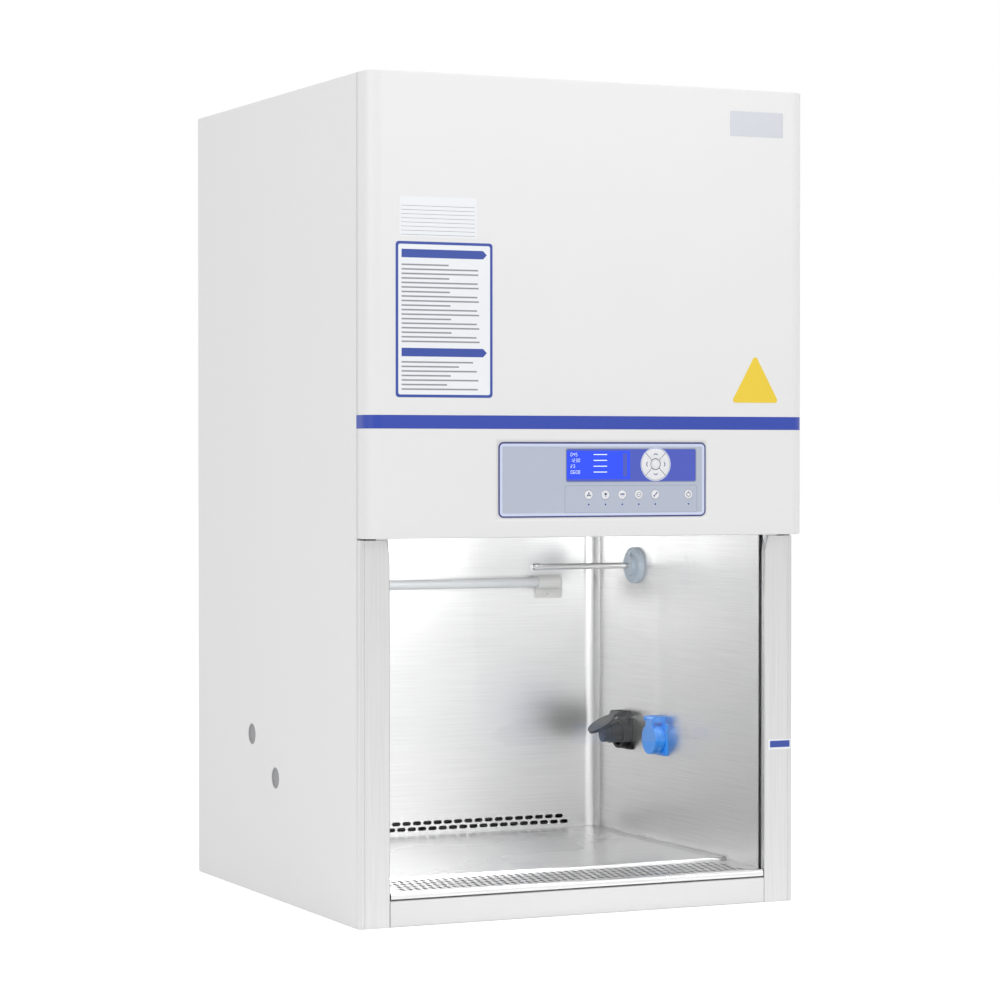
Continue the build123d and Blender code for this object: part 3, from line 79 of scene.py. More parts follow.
def grainGroup():
    # Brushed streaks: noise read at the place times a stretch, which is small along the grain.
    group, start, end = newGroup(
        "brushedGrain",
        [("Place", "NodeSocketVector", (0, 0, 0)), ("Stretch", "NodeSocketVector", (8, 600, 600)),
         ("Tone Low", "NodeSocketFloat", 0.35), ("Tone High", "NodeSocketFloat", 0.65)],
        [("Streak", "NodeSocketFloat"), ("Cloud", "NodeSocketFloat")])
    add, link = group.nodes.new, group.links.new
    stretched = add("ShaderNodeVectorMath")
    stretched.operation = "MULTIPLY"
    fine = add("ShaderNodeTexNoise")
    fine.inputs["Scale"].default_value = 1
    fine.inputs["Detail"].default_value = 3
    toned = add("ShaderNodeMapRange")
    cloud = add("ShaderNodeTexNoise")
    cloud.inputs["Scale"].default_value = 5
    cloud.inputs["Detail"].default_value = 2
    link(start.outputs["Place"], stretched.inputs[0])
    link(start.outputs["Stretch"], stretched.inputs[1])
    link(stretched.outputs[0], fine.inputs["Vector"])
    link(fine.outputs[0], toned.inputs["Value"])
    link(start.outputs["Tone Low"], toned.inputs["From Min"])
    link(start.outputs["Tone High"], toned.inputs["From Max"])
    link(start.outputs["Place"], cloud.inputs["Vector"])
    link(toned.outputs[0], end.inputs["Streak"])
    link(cloud.outputs[0], end.inputs["Cloud"])
    return group


def peelGroup():
    # Fine skin of paint or moulded plastic: small round bumps, and a slow change of tone.
    group, start, end = newGroup(
        "paintSkin",
        [("Place", "NodeSocketVector", (0, 0, 0)), ("Bumps per Metre", "NodeSocketFloat", 900.0),
         ("Clouds per Metre", "NodeSocketFloat", 5.0)],
        [("Skin", "NodeSocketFloat"), ("Cloud", "NodeSocketFloat")])
    add, link = group.nodes.new, group.links.new
    fine = add("ShaderNodeTexNoise")
    fine.inputs["Detail"].default_value = 1
    cloud = add("ShaderNodeTexNoise")
    cloud.inputs["Detail"].default_value = 3
    link(start.outputs["Place"], fine.inputs["Vector"])
    link(start.outputs["Place"], cloud.inputs["Vector"])
    link(start.outputs["Bumps per Metre"], fine.inputs["Scale"])
    link(start.outputs["Clouds per Metre"], cloud.inputs["Scale"])
    link(fine.outputs[0], end.inputs["Skin"])
    link(cloud.outputs[0], end.inputs["Cloud"])
    return group


brushedGrain = grainGroup()
paintSkin = peelGroup()


bumpDepth = {"grain": 0.0002, "skin": 0.0003}  # metres


def blankMaterial(name):
    # Material with its tree, its Principled shader and a place to read: the object's own coordinates.
    material = bpy.data.materials.new(name)
    material.use_nodes = True
    tree = material.node_tree
    shader = tree.nodes["Principled BSDF"]
    place = tree.nodes.new("ShaderNodeTexCoord")
    return material, tree, shader, place.outputs["Object"]


def mixedColour(tree, factor, low, high):
    # Colour between two given ones, by a mask.
    mixer = tree.nodes.new("ShaderNodeMix")
    mixer.data_type = "RGBA"
    mixer.inputs["A"].default_value = (*low, 1)
    mixer.inputs["B"].default_value = (*high, 1)
    tree.links.new(factor, mixer.inputs["Factor"])
    return mixer.outputs["Result"]


def mappedValue(tree, value, low, high):
    # A mask from 0 to 1 turned into a value between two given ones.
    mapper = tree.nodes.new("ShaderNodeMapRange")
    mapper.inputs["To Min"].default_value = low
    mapper.inputs["To Max"].default_value = high
    tree.links.new(value, mapper.inputs["Value"])
    return mapper.outputs[0]


def bumpedNormal(tree, shader, height, strength, distance):
    # Normal tilted by the slope of a height mask, which is as deep as the distance.
    bump = tree.nodes.new("ShaderNodeBump")
    bump.inputs["Strength"].default_value = strength
    bump.inputs["Distance"].default_value = distance
    tree.links.new(height, bump.inputs["Height"])
    tree.links.new(bump.outputs["Normal"], shader.inputs["Normal"])


def brushedMetal(name, tone, grain="x", shade=0.06, rough=(0.24, 0.38), stretch=(7, 620), bump=0.06):
    # Metal with a grain along one axis: the tone less or more a shade by the streaks, and a roughness
    # that drifts with the clouds.
    material, tree, shader, place = blankMaterial(name)
    grained = tree.nodes.new("ShaderNodeGroup")
    grained.node_tree = brushedGrain
    along, across = stretch
    grained.inputs["Stretch"].default_value = [along if axis == grain else across for axis in "xyz"]
    tree.links.new(place, grained.inputs["Place"])
    low = [max(c - shade, 0) for c in tone]
    high = [min(c + shade, 1) for c in tone]
    tree.links.new(mixedColour(tree, grained.outputs["Streak"], low, high), shader.inputs["Base Color"])
    tree.links.new(mappedValue(tree, grained.outputs["Cloud"], *rough), shader.inputs["Roughness"])
    bumpedNormal(tree, shader, grained.outputs["Streak"], bump, bumpDepth["grain"])
    shader.inputs["Metallic"].default_value = 1
    return material


def skinned(name, colour, rough=0.45, spread=0.012, bumps=900, bump=0.08, coat=0.0, metallic=0.0,
            clouds=5, gloss=0.5):
    # Paint or plastic: colour that drifts a little, fine bumps and a roughness that drifts with them.
    material, tree, shader, place = blankMaterial(name)
    skin = tree.nodes.new("ShaderNodeGroup")
    skin.node_tree = paintSkin
    skin.inputs["Bumps per Metre"].default_value = bumps
    skin.inputs["Clouds per Metre"].default_value = clouds
    tree.links.new(place, skin.inputs["Place"])
    darker, lighter, roughDrift = 1 - 4 * spread, 1 + 2 * spread, 0.06
    low = [max(c * darker, 0) for c in colour]
    high = [min(c * lighter, 1) for c in colour]
    tree.links.new(mixedColour(tree, skin.outputs["Cloud"], low, high), shader.inputs["Base Color"])
    tree.links.new(mappedValue(tree, skin.outputs["Cloud"], rough - roughDrift, rough + roughDrift),
                   shader.inputs["Roughness"])
    bumpedNormal(tree, shader, skin.outputs["Skin"], bump, bumpDepth["skin"])
    shader.inputs["Coat Weight"].default_value = coat
    shader.inputs["Metallic"].default_value = metallic
    shader.inputs["Specular IOR Level"].default_value = gloss
    return material


def clearGlass(name, colour, cover):
    # Clear pane: mostly see-through, the rest is glass that bends and mirrors.
    material, _, shader, _ = blankMaterial(name)
    shader.inputs["Base Color"].default_value = (*colour, 1)
    shader.inputs["Roughness"].default_value = 0.0
    shader.inputs["Transmission Weight"].default_value = 1
    shader.inputs["IOR"].default_value = 1.46
    shader.inputs["Alpha"].default_value = cover
    return material


def lit(material, colour, strength):
    # The same material, glowing in a colour.
    shader = material.node_tree.nodes["Principled BSDF"]
    shader.inputs["Emission Color"].default_value = (*colour, 1)
    shader.inputs["Emission Strength"].default_value = strength
    return material


paint = {"shell": (0.80, 0.80, 0.80), "stripe": (0.02, 0.055, 0.40), "navy": (0.02, 0.03, 0.20)}
shellPaint = skinned("shellPaint", paint["shell"], rough=0.42, spread=0.006, bumps=1100, bump=0.05)
stripePaint = skinned("stripePaint", paint["stripe"], rough=0.38, bumps=1100, bump=0.04)
navyInk = skinned("navyInk", paint["navy"], rough=0.35, bump=0.02)
paleFilm = skinned("paleFilm", (0.62, 0.68, 0.86), rough=0.4, bump=0.03)
panelFilm = skinned("panelFilm", (0.46, 0.50, 0.60), rough=0.42, spread=0.01, bumps=2500, bump=0.04,
                    clouds=7)
panelLines = skinned("panelLines", (0.22, 0.25, 0.38), rough=0.45, bump=0.02)
windowBlue = skinned("windowBlue", (0.05, 0.085, 0.52), rough=0.22, bump=0.01, coat=0.4)
screenBlue = skinned("screenBlue", (0.01, 0.05, 0.85), rough=0.25, bump=0.0)
lit(screenBlue, (0.02, 0.10, 0.9), 0.22)
screenMarks = skinned("screenMarks", (0.75, 0.85, 1.0), rough=0.4, bump=0.0)
lit(screenMarks, (0.7, 0.85, 1.0), 0.45)
keyWhite = skinned("keyWhite", (0.80, 0.81, 0.84), rough=0.4, bumps=2500, bump=0.03)
keyRim = skinned("keyRim", (0.45, 0.50, 0.72), rough=0.4, bump=0.02)
keyInk = skinned("keyInk", (0.03, 0.04, 0.12), rough=0.5, bump=0.02)
wallSteel = brushedMetal("wallSteel", (0.70, 0.70, 0.70), grain="y", rough=(0.26, 0.40), shade=0.03)
backSteel = brushedMetal("backSteel", (0.80, 0.80, 0.80), grain="x", rough=(0.26, 0.40), shade=0.03)
postSteel = brushedMetal("postSteel", (0.60, 0.60, 0.60), grain="z", rough=(0.26, 0.36), shade=0.02,
                         bump=0.02)
grilleSteel = brushedMetal("grilleSteel", (0.70, 0.70, 0.70), grain="x", rough=(0.22, 0.34))
worktopSteel = brushedMetal("worktopSteel", (0.80, 0.80, 0.80), grain="x", rough=(0.20, 0.34))
panSteel = brushedMetal("panSteel", (0.50, 0.50, 0.50), grain="x", rough=(0.3, 0.45))
zincSheet = brushedMetal("zincSheet", (0.50, 0.52, 0.54), grain="x", rough=(0.35, 0.55),
                         stretch=(60, 90))
railMetal = brushedMetal("railMetal", (0.62, 0.63, 0.64), grain="z", rough=(0.3, 0.4))
brightSteel = brushedMetal("brightSteel", (0.66, 0.66, 0.66), grain="x", rough=(0.12, 0.22), shade=0.02)
whitePlastic = skinned("whitePlastic", (0.74, 0.74, 0.72), rough=0.45, bumps=1500)
plugGrey = skinned("plugGrey", (0.30, 0.30, 0.31), rough=0.5, bumps=1500)
greyPlastic = skinned("greyPlastic", (0.22, 0.23, 0.25), rough=0.5, bumps=1500)
blackPlastic = skinned("blackPlastic", (0.009, 0.009, 0.010), rough=0.42, bumps=1800, bump=0.15,
                       gloss=0.2)
bluePlastic = skinned("bluePlastic", (0.015, 0.27, 0.86), rough=0.3, bumps=1500, bump=0.04, coat=0.3)
probePlastic = skinned("probePlastic", (0.42, 0.50, 0.58), rough=0.4, bumps=1500)
paperMedia = skinned("paperMedia", (0.72, 0.72, 0.69), rough=0.8, bumps=700, bump=0.3)
motorPaint = skinned("motorPaint", (0.05, 0.05, 0.055), rough=0.4, bumps=900, bump=0.2)
beltRubber = skinned("beltRubber", (0.02, 0.02, 0.02), rough=0.6, bumps=900, bump=0.3)
sashGlass = clearGlass("sashGlass", (0.94, 0.985, 0.97), 0.06)
tubeGlass = skinned("tubeGlass", (0.70, 0.72, 0.74), rough=0.12, bump=0.0, coat=0.5)
labelWhite = skinned("labelWhite", (0.86, 0.88, 0.91), rough=0.35, bumps=2000, bump=0.02)
labelBlue = skinned("labelBlue", (0.03, 0.07, 0.36), rough=0.35, bump=0.02)
labelGrey = skinned("labelGrey", (0.28, 0.29, 0.32), rough=0.4, bump=0.02)
labelSilver = skinned("labelSilver", (0.56, 0.58, 0.62), rough=0.3, metallic=0.3, bump=0.02)
labelYellow = skinned("labelYellow", (0.86, 0.62, 0.04), rough=0.35, bump=0.02)
print("cabinet: materials made")


# mesh helpers: all lengths in millimetres

def gridFaces(rowCount, columnCount, closedColumns=False):
    # Quads of a grid, row by row; closed columns join the last column to the first.
    row = np.arange(rowCount - 1)[:, None]
    column = np.arange(columnCount if closedColumns else columnCount - 1)[None, :]
    nextColumn = (column + 1) % columnCount
    low, high = row * columnCount, (row + 1) * columnCount
    quads = np.stack([low + column, low + nextColumn, high + nextColumn, high + column], -1)
    return quads.reshape(-1, 4)


def arcPoints(centre, radius, start, end, count):
    # Points of an arc: centre plus radius times cosine and sine of evenly spaced angles in degrees.
    angle = np.radians(np.linspace(start, end, count))
    return np.stack([centre[0] + radius * np.cos(angle), centre[1] + radius * np.sin(angle)], -1)


def roundedOutline(width, height, radius, steps=6):
    # Rectangle with round corners, anticlockwise: four quarter circles joined.
    radius = max(min(radius, width / 2, height / 2), 1e-3)
    a, b = width / 2 - radius, height / 2 - radius
    corners = [(a, -b, -90), (a, b, 0), (-a, b, 90), (-a, -b, 180)]
    quarters = [arcPoints((x, y), radius, start, start + 90, steps + 1) for x, y, start in corners]
    return np.concatenate(quarters)


def circleOutline(radius, steps=48):
    # Circle: an arc that ends one step before the full turn.
    return arcPoints((0, 0), radius, 0, 360 * (1 - 1 / steps), steps)


def unit(vector):
    # A direction as long as one.
    return vector / np.linalg.norm(vector)


def bentLine(points, radii, steps=5):
    # A line with rounded bends: at each inner corner the two legs are cut back by radius times the
    # tangent of half the turn, and an arc joins them.
    points = np.asarray(points, float)
    out = [points[:1]]
    for before, corner, after, radius in zip(points[:-2], points[1:-1], points[2:], radii):
        one, two = unit(before - corner), unit(after - corner)
        half = math.acos(np.clip(one @ two, -1, 1)) / 2
        centre = corner + unit(one + two) * radius / math.sin(half)
        startLeg = corner + one * radius / math.tan(half)
        endLeg = corner + two * radius / math.tan(half)
        turn = np.linspace(0, 1, steps + 1)[:, None]
        spread = (startLeg - centre) * (1 - turn) + (endLeg - centre) * turn
        out.append(centre + radius * spread / np.linalg.norm(spread, axis=1, keepdims=True))
    out.append(points[-1:])
    return np.concatenate(out)


def thickLine(line, thickness):
    # Outline of a sheet: its middle line moved half the thickness to both sides.
    step = np.gradient(line, axis=0)
    step /= np.linalg.norm(step, axis=1, keepdims=True)
    side = np.stack([-step[:, 1], step[:, 0]], -1) * thickness / 2
    return np.concatenate([line + side, (line - side)[::-1]])


def facing(axis, origin):
    # Rule that places a flat outline: depth runs along the named axis, the rest across it.
    first, second, deep = {"x": (1, 2, 0), "y": (0, 2, 1), "z": (0, 1, 2)}[axis]

    def place(outline, depth):
        # Origin plus the outline's two values and the depth, each on its own axis.
        points = np.zeros((len(outline), 3))
        points[:, first] = outline[:, 0]
        points[:, second] = outline[:, 1]
        points[:, deep] = depth
        return points + np.asarray(origin, float)
    return place


def ringSkin(rings):
    # Skin of a solid: quads from each ring to the next, and one face over each end.
    rings = np.asarray(rings, float)
    count, around = rings.shape[:2]
    faces = gridFaces(count, around, closedColumns=True).tolist()
    faces.append(list(range(around)))
    faces.append(list(range((count - 1) * around, count * around)))
    return rings.reshape(-1, 3), faces


def joined(parts):
    # Several skins as one mesh: the face numbers of each are moved past the points before it.
    points, faces, first = [], [], 0
    for partPoints, partFaces in parts:
        points.append(np.asarray(partPoints, float))
        faces += [[number + first for number in face] for face in partFaces]
        first += len(partPoints)
    return np.concatenate(points), faces


weldDistance = 1e-6  # metres


def makePiece(name, points, faces, material, body, slot, replaced=(), closed=True, sharp=35,
              flat=False):
    # Mesh object of points and faces. A closed skin has its doubles merged and its faces turned
    # outwards; edges that turn by more than the sharp angle stay sharp.
    mesh = bpy.data.meshes.new(name)
    mesh.from_pydata((np.asarray(points, float) * mm).tolist(), [], faces)
    if closed:
        work = bmesh.new()
        work.from_mesh(mesh)
        bmesh.ops.remove_doubles(work, verts=work.verts, dist=weldDistance)
        bmesh.ops.recalc_face_normals(work, faces=work.faces)
        work.to_mesh(mesh)
        work.free()
    if flat:
        mesh.shade_flat()
    else:
        mesh.shade_smooth()
        mesh.set_sharp_from_angle(angle=math.radians(sharp))
    piece = bpy.data.objects.new(name, mesh)
    scene.collection.objects.link(piece)
    mesh.materials.append(material)
    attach(piece, body)
    if replaced:
        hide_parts(*replaced)
    return piece


def thicken(piece, thickness):
    # Wall of a sheet, behind the face that is drawn.
    solid = piece.modifiers.new("sheetThickness", "SOLIDIFY")
    solid.thickness = thickness * mm
    solid.offset = -1
    solid.use_even_offset = True


def softenEdges(piece, width):
    # Small rounding of the edges that turn by more than 60 degrees; the flats keep flat normals.
    bevel = piece.modifiers.new("softEdges", "BEVEL")
    bevel.width = width * mm
    bevel.segments = 2
    bevel.limit_method = "ANGLE"
    bevel.angle_limit = math.radians(60)
    bevel.harden_normals = True


def stackedPlate(outlineAt, levels, place):
    # A plate built up of outlines: each level is an inset and a depth.
    return ringSkin([place(outlineAt(inset), depth) for inset, depth in levels])


def turnedSkin(profile, place, steps=48):
    # A turned body: each profile point is a radius and a height along the axis.
    return ringSkin([place(circleOutline(radius, steps), height) for radius, height in profile])


def slotOutline(length, width, upright, steps=5):
    # Slot with half-circle ends, anticlockwise, with the points where the six spokes of its tile end.
    reach = (length - width) / 2
    if upright:
        low = arcPoints((0, -reach), width / 2, 180, 360, 2 * steps + 1)
        high = arcPoints((0, reach), width / 2, 0, 180, 2 * steps + 1)
        ends = [0, steps, 2 * steps, 2 * steps + 1, 3 * steps + 1, 4 * steps + 1]
        return np.concatenate([low, high]), ends
    right = arcPoints((reach, 0), width / 2, -90, 90, 2 * steps + 1)
    left = arcPoints((-reach, 0), width / 2, 90, 270, 2 * steps + 1)[:-1]
    outline = np.concatenate([[[-reach, -width / 2], [0, -width / 2]], right, [[0, width / 2]], left])
    top = 2 + 2 * steps
    return outline, [0, 1, 2, top, top + 1, top + 2]


def spokeArc(ends, spoke, around):
    # Numbers of a hole's points, from the next spoke's end back to this one's.
    begin, finish = ends[spoke], ends[(spoke + 1) % len(ends)]
    if finish < begin:
        finish += around
    return np.arange(finish, begin - 1, -1) % around


def punchedSheet(across, along, slotBands, slot):
    # A sheet on a grid: a point is across[k] plus along[i]. In a slotted band each tile two columns wide
    # has a slot in its middle, joined to the tile's rim points; the other cells are plain quads.
    columns, rows = len(across), len(along)
    points = (along[:, None, :] + across[None, :, :]).reshape(-1, 3)
    outline, ends = slot
    around, spokes = len(outline), len(ends)
    faces, extra, first = [], [], len(points)
    for band in range(rows - 1):
        low, high = band * columns, (band + 1) * columns
        taken = np.zeros(columns - 1, bool)
        if band in slotBands:
            start, count = slotBands[band]
            left = start + 2 * np.arange(count)
            taken[left] = taken[left + 1] = True
            unitAcross = unit(across[start + 1] - across[start])
            unitAlong = unit(along[band + 1] - along[band])
            middle = across[left + 1] + (along[band] + along[band + 1]) / 2
            holes = middle[:, None, :] + outline[None, :, :1] * unitAcross
            holes = holes + outline[None, :, 1:] * unitAlong
            extra.append(holes.reshape(-1, 3))
            rim = np.stack([low + left, low + left + 1, low + left + 2,
                            high + left + 2, high + left + 1, high + left], -1)
            inner = first + np.arange(count)[:, None] * around
            for spoke in range(spokes):
                arc = spokeArc(ends, spoke, around)
                tile = np.concatenate([rim[:, [spoke, (spoke + 1) % spokes]], inner + arc[None, :]], 1)
                faces += tile.tolist()
            first += count * around
        plain = np.flatnonzero(~taken)
        quads = np.stack([low + plain, low + plain + 1, high + plain + 1, high + plain], -1)
        faces += quads.tolist()
    return np.concatenate([points] + extra), faces


# front cover: skin carried round the plan, from the lower fold to the top
cover = {"corner": 24.0, "cornerPoints": 13, "fold": 2.5, "foldPoints": 6, "thickness": 1.5,
         "lip": 33.0, "grooveDepth": 0.6, "grooveStep": 0.01, "stripeBottom": 713.5,
         "stripeTop": 733.0, "panelRoom": 6.0}
panel = {"x": 15.5, "z": 640.2, "width": 337.0, "height": 108.6, "corner": 8.0, "front": -364.4,
         "gap": 0.2, "holeSteps": 6}


def coverPlan(inset):
    # Plan of the cover from the left back edge round the front to the right one: straight sides,
    # quarter circles at the corners, and a front that is divided at the panel.
    side, front = cabinet["halfWidth"] - inset, cabinet["frontOfCover"] + inset
    back, lip = cabinet["coverBack"], cabinet["frontOfCover"] + cover["lip"]
    radius, count = cover["corner"] - inset, cover["cornerPoints"]
    left = arcPoints((-side + radius, front + radius), radius, 180, 270, count)
    right = arcPoints((side - radius, front + radius), radius, 270, 360, count)
    room = panel["width"] / 2 + cover["panelRoom"]
    divisions = [[panel["x"] - room, front], [panel["x"] + room, front]]
    return np.concatenate([[[-side, back], [-side, lip]], left, divisions, right,
                           [[side, lip], [side, back]]])


def coverRing(inset, height):
    # The cover's plan at one height.
    plan = coverPlan(inset)
    return np.column_stack([plan, np.full(len(plan), height)])


def coverProfile():
    # Insets and heights up the wall: a quarter-round fold, the two edges of the panel's cell, the
    # groove of the stripe, and the same fold upside down.
    fold, bottom, top = cover["fold"], cabinet["coverBottom"], cabinet["height"]
    turn = np.radians(np.linspace(90, 0, cover["foldPoints"]))
    lower = np.stack([fold - fold * np.cos(turn), bottom + fold - fold * np.sin(turn)], -1)
    upper = lower[::-1] * [1, -1] + [0, bottom + top]
    room = panel["height"] / 2 + cover["panelRoom"]
    groove, step = cover["grooveDepth"], cover["grooveStep"]
    middle = [[0, panel["z"] - room], [0, panel["z"] + room], [0, cover["stripeBottom"]],
              [groove, cover["stripeBottom"] + step], [groove, cover["stripeTop"] - step],
              [0, cover["stripeTop"]]]
    return np.concatenate([lower, middle, upper])


def coverSkin():
    # The wall is a grid of plans at rising heights; the panel's cell has a rounded hole, and one face
    # each closes the top and the lower lip.
    rings = np.array([coverRing(inset, height) for inset, height in coverProfile()])
    levels, around = rings.shape[:2]
    points = rings.reshape(-1, 3)
    row, column = cover["foldPoints"], 2 + cover["cornerPoints"]
    faces = np.delete(gridFaces(levels, around), row * (around - 1) + column, 0).tolist()
    low, high = row * around + column, (row + 1) * around + column
    rim = [low, low + 1, high + 1, high]
    steps, gap = panel["holeSteps"], panel["gap"]
    hole = roundedOutline(panel["width"] + 2 * gap, panel["height"] + 2 * gap, panel["corner"], steps)
    # Rolled so that each quarter of the list ends at the middle of a corner, the lower left one first.
    hole = np.roll(hole, steps + 1 + steps // 2, axis=0)
    ends = [(steps + 1) * (corner + 1) - 1 for corner in range(4)]
    holePoints = np.column_stack([hole[:, 0] + panel["x"], np.full(len(hole), cabinet["frontOfCover"]),
                                  hole[:, 1] + panel["z"]])
    for corner in range(4):
        arc = len(points) + spokeArc(ends, corner, len(hole))
        faces.append([rim[corner], rim[(corner + 1) % 4]] + arc.tolist())
    faces.append(list(range(1, around - 1))[::-1])
    faces.append(list(range((levels - 1) * around, levels * around)))
    return np.concatenate([points, holePoints]), faces


hoodCover = makePiece("hoodCover", *coverSkin(), shellPaint, "cover", "painted_shell", ["hood_shell"],
                      closed=False)
thicken(hoodCover, cover["thickness"])
print("cabinet: cover made")


def planStrip(profile):
    # A closed profile of insets and heights, carried round the cover's plan.
    rings = np.array([coverRing(inset, height) for inset, height in profile])
    return ringSkin(rings.transpose(1, 0, 2))


# stripe: a band with small bevels that lies in the cover's groove
stripe = {"recess": 0.06, "edge": 0.15, "play": 0.12, "floorGap": 0.02}
stripeLow, stripeHigh = cover["stripeBottom"] + stripe["play"], cover["stripeTop"] - stripe["play"]
stripeEdge = stripe["recess"] + stripe["edge"]
stripeBack = cover["grooveDepth"] - stripe["floorGap"]
stripeProfile = [(stripeEdge, stripeLow), (stripe["recess"], stripeLow + stripe["edge"]),
                 (stripe["recess"], stripeHigh - stripe["edge"]), (stripeEdge, stripeHigh),
                 (stripeBack, stripeHigh), (stripeBack, stripeLow)]
makePiece("coverStripe", *planStrip(stripeProfile), stripePaint, "cover", "stripe_blue", ["hood_stripe"])


# control panel: a plate with printed layers, the key wells cut through all of them
padShape = {"x": 100.8, "z": 662.6, "radius": 23.2, "core": 8.6, "split": 0.9, "rim": 1.6,
            "outerPoints": 15, "innerPoints": 9, "ok": 7.5, "okRing": (6.2, 5.7), "steps": 64,
            "okSteps": 40}
keyRow = {"z": 618.2, "radius": 6.6, "well": 0.35, "thickness": 2.5, "front": -364.9, "edge": 0.5,
          "steps": 32,
          "columns": {"fan_key": -8.8, "light_key": 18.5, "lamp_key": 45.9, "outlet_key": 73.0,
                      "tools_key": 100.3, "power_key": 155.3}}
displayShape = {"box": (-46.05, 168.45, 636.45, 685.95), "corner": 3.0, "edge": 1.4,
                "screen": (-44.0, 58.5, 641.0, 682.0), "screenCorner": 1.0}
plate = {"thickness": 1.8, "rim": 2.0, "face": 6.0, "leastCorner": 1.0}

# how far each printed layer stands off the panel's face, and how thick the films are
printRise = {"plate": -0.1, "rim": -0.04, "face": 0.0, "groupLine": 0.04, "windowEdge": 0.05,
             "window": 0.08, "lampRim": 0.10, "screen": 0.11, "lamp": 0.12, "bar": 0.13,
             "figures": 0.14, "padRim": 0.16, "keySign": 0.05}
thinFilm, thickFilm = 0.1, 0.2


def filledLoops(loops):
    # Area between outlines: triangles over all their points, kept where the count of outlines round
    # the triangle's middle is odd.
    corners, edges, first = [], [], 0
    for loop in loops:
        count = len(loop)
        corners += [tuple(map(float, point)) for point in loop]
        edges += [(first + k, first + (k + 1) % count) for k in range(count)]
        first += count
    flat, _, triangles, _, _, _ = delaunay_2d_cdt(corners, edges, [], 0, 1e-6)
    flat, triangles = np.array([tuple(point) for point in flat]), np.array(triangles)
    middle = flat[triangles].mean(1)[:, None]
    crossings = np.zeros(len(triangles), int)
    for loop in loops:
        start = np.asarray(loop, float)
        end = np.roll(start, -1, axis=0)
        spans = (start[:, 1] > middle[..., 1]) != (end[:, 1] > middle[..., 1])
        rise = np.where(end[:, 1] == start[:, 1], 1, end[:, 1] - start[:, 1])
        meet = start[:, 0] + (middle[..., 1] - start[:, 1]) / rise * (end[:, 0] - start[:, 0])
        crossings += (spans & (middle[..., 0] < meet)).sum(1)
    return flat, triangles[crossings % 2 == 1].tolist()


def filmPiece(name, loops, depth, thickness, material, body="cover", slot="panel_film", replaced=()):
    # Flat piece bounded by closed outlines: the area between the outer loop and the inner ones, given
    # its thickness behind the front face.
    flat, faces = filledLoops(loops)
    points = np.column_stack([flat[:, 0], np.full(len(flat), depth), flat[:, 1]])
    piece = makePiece(name, points, faces, material, body, slot, replaced, closed=False, flat=True)
    if any(polygon.normal.y > 0 for polygon in piece.data.polygons):
        piece.data.flip_normals()
    thicken(piece, thickness)
    return piece


def panelPrint(name, loops, layer, material, thickness=thinFilm, slot="panel_film", replaced=()):
    # Film whose front stands off the panel's face by its layer's rise.
    depth = panel["front"] - printRise[layer]
    return filmPiece(name, loops, depth, thickness, material, slot=slot, replaced=replaced)


def keyPrint(name, loops, material, body):
    # Sign on a key: a thin film in front of the cap.
    depth = keyRow["front"] - printRise["keySign"]
    return filmPiece(name, loops, depth, thinFilm, material, body=body, slot="key_plastic")


def movedLoop(loop, x, z, turn=0.0):
    # Outline turned by an angle in degrees and moved.
    angle = math.radians(turn)
    spin = np.array([[math.cos(angle), math.sin(angle)], [-math.sin(angle), math.cos(angle)]])
    return np.asarray(loop, float) @ spin + (x, z)


def boxLoop(left, right, low, high, corner, inset=0.0):
    # Rounded rectangle between two sides and two heights, less an inset all round.
    outline = roundedOutline(right - left - 2 * inset, high - low - 2 * inset, corner)
    return movedLoop(outline, (left + right) / 2, (low + high) / 2)


def discLoop(radius, x, z, steps):
    # Circle about a place.
    return movedLoop(circleOutline(radius, steps), x, z)


def ringLoops(outer, inner, x, z, steps=40):
    # Two circles with one middle, for a ring.
    return [discLoop(outer, x, z, steps), discLoop(inner, x, z, steps)]


def panelLoop(inset):
    # The panel's outline, set in; its corners lose the inset too.
    outline = roundedOutline(panel["width"] - 2 * inset, panel["height"] - 2 * inset,
                             max(panel["corner"] - inset, plate["leastCorner"]))
    return movedLoop(outline, panel["x"], panel["z"])


def displayLoop(inset):
    # The window's outline, set in.
    return boxLoop(*displayShape["box"], displayShape["corner"], inset)


# holes of the pad and the round keys, wider than them by the well
well = keyRow["well"]
padHole = discLoop(padShape["radius"] + well, padShape["x"], padShape["z"], padShape["steps"])
keyWells = [padHole] + [discLoop(keyRow["radius"] + well, x, keyRow["z"], keyRow["steps"])
                        for x in keyRow["columns"].values()]
panelPrint("panelPlate", [panelLoop(0)] + keyWells, "plate", navyInk, plate["thickness"],
           replaced=["control_fascia"])
panelPrint("panelRim", [panelLoop(plate["rim"])] + keyWells, "rim", paleFilm)
panelPrint("panelFace", [panelLoop(plate["face"])] + keyWells, "face", panelFilm)

# the window's printed edge and field leave out the pad where they overlap it
panelPrint("windowEdge", [displayLoop(0), padHole], "windowEdge", panelLines, slot="display_blue",
           replaced=["display_window"])
panelPrint("windowField", [displayLoop(displayShape["edge"]), padHole], "window", windowBlue,
           slot="display_blue")
panelPrint("screenField", [boxLoop(*displayShape["screen"], displayShape["screenCorner"])], "screen",
           screenBlue, slot="display_blue")

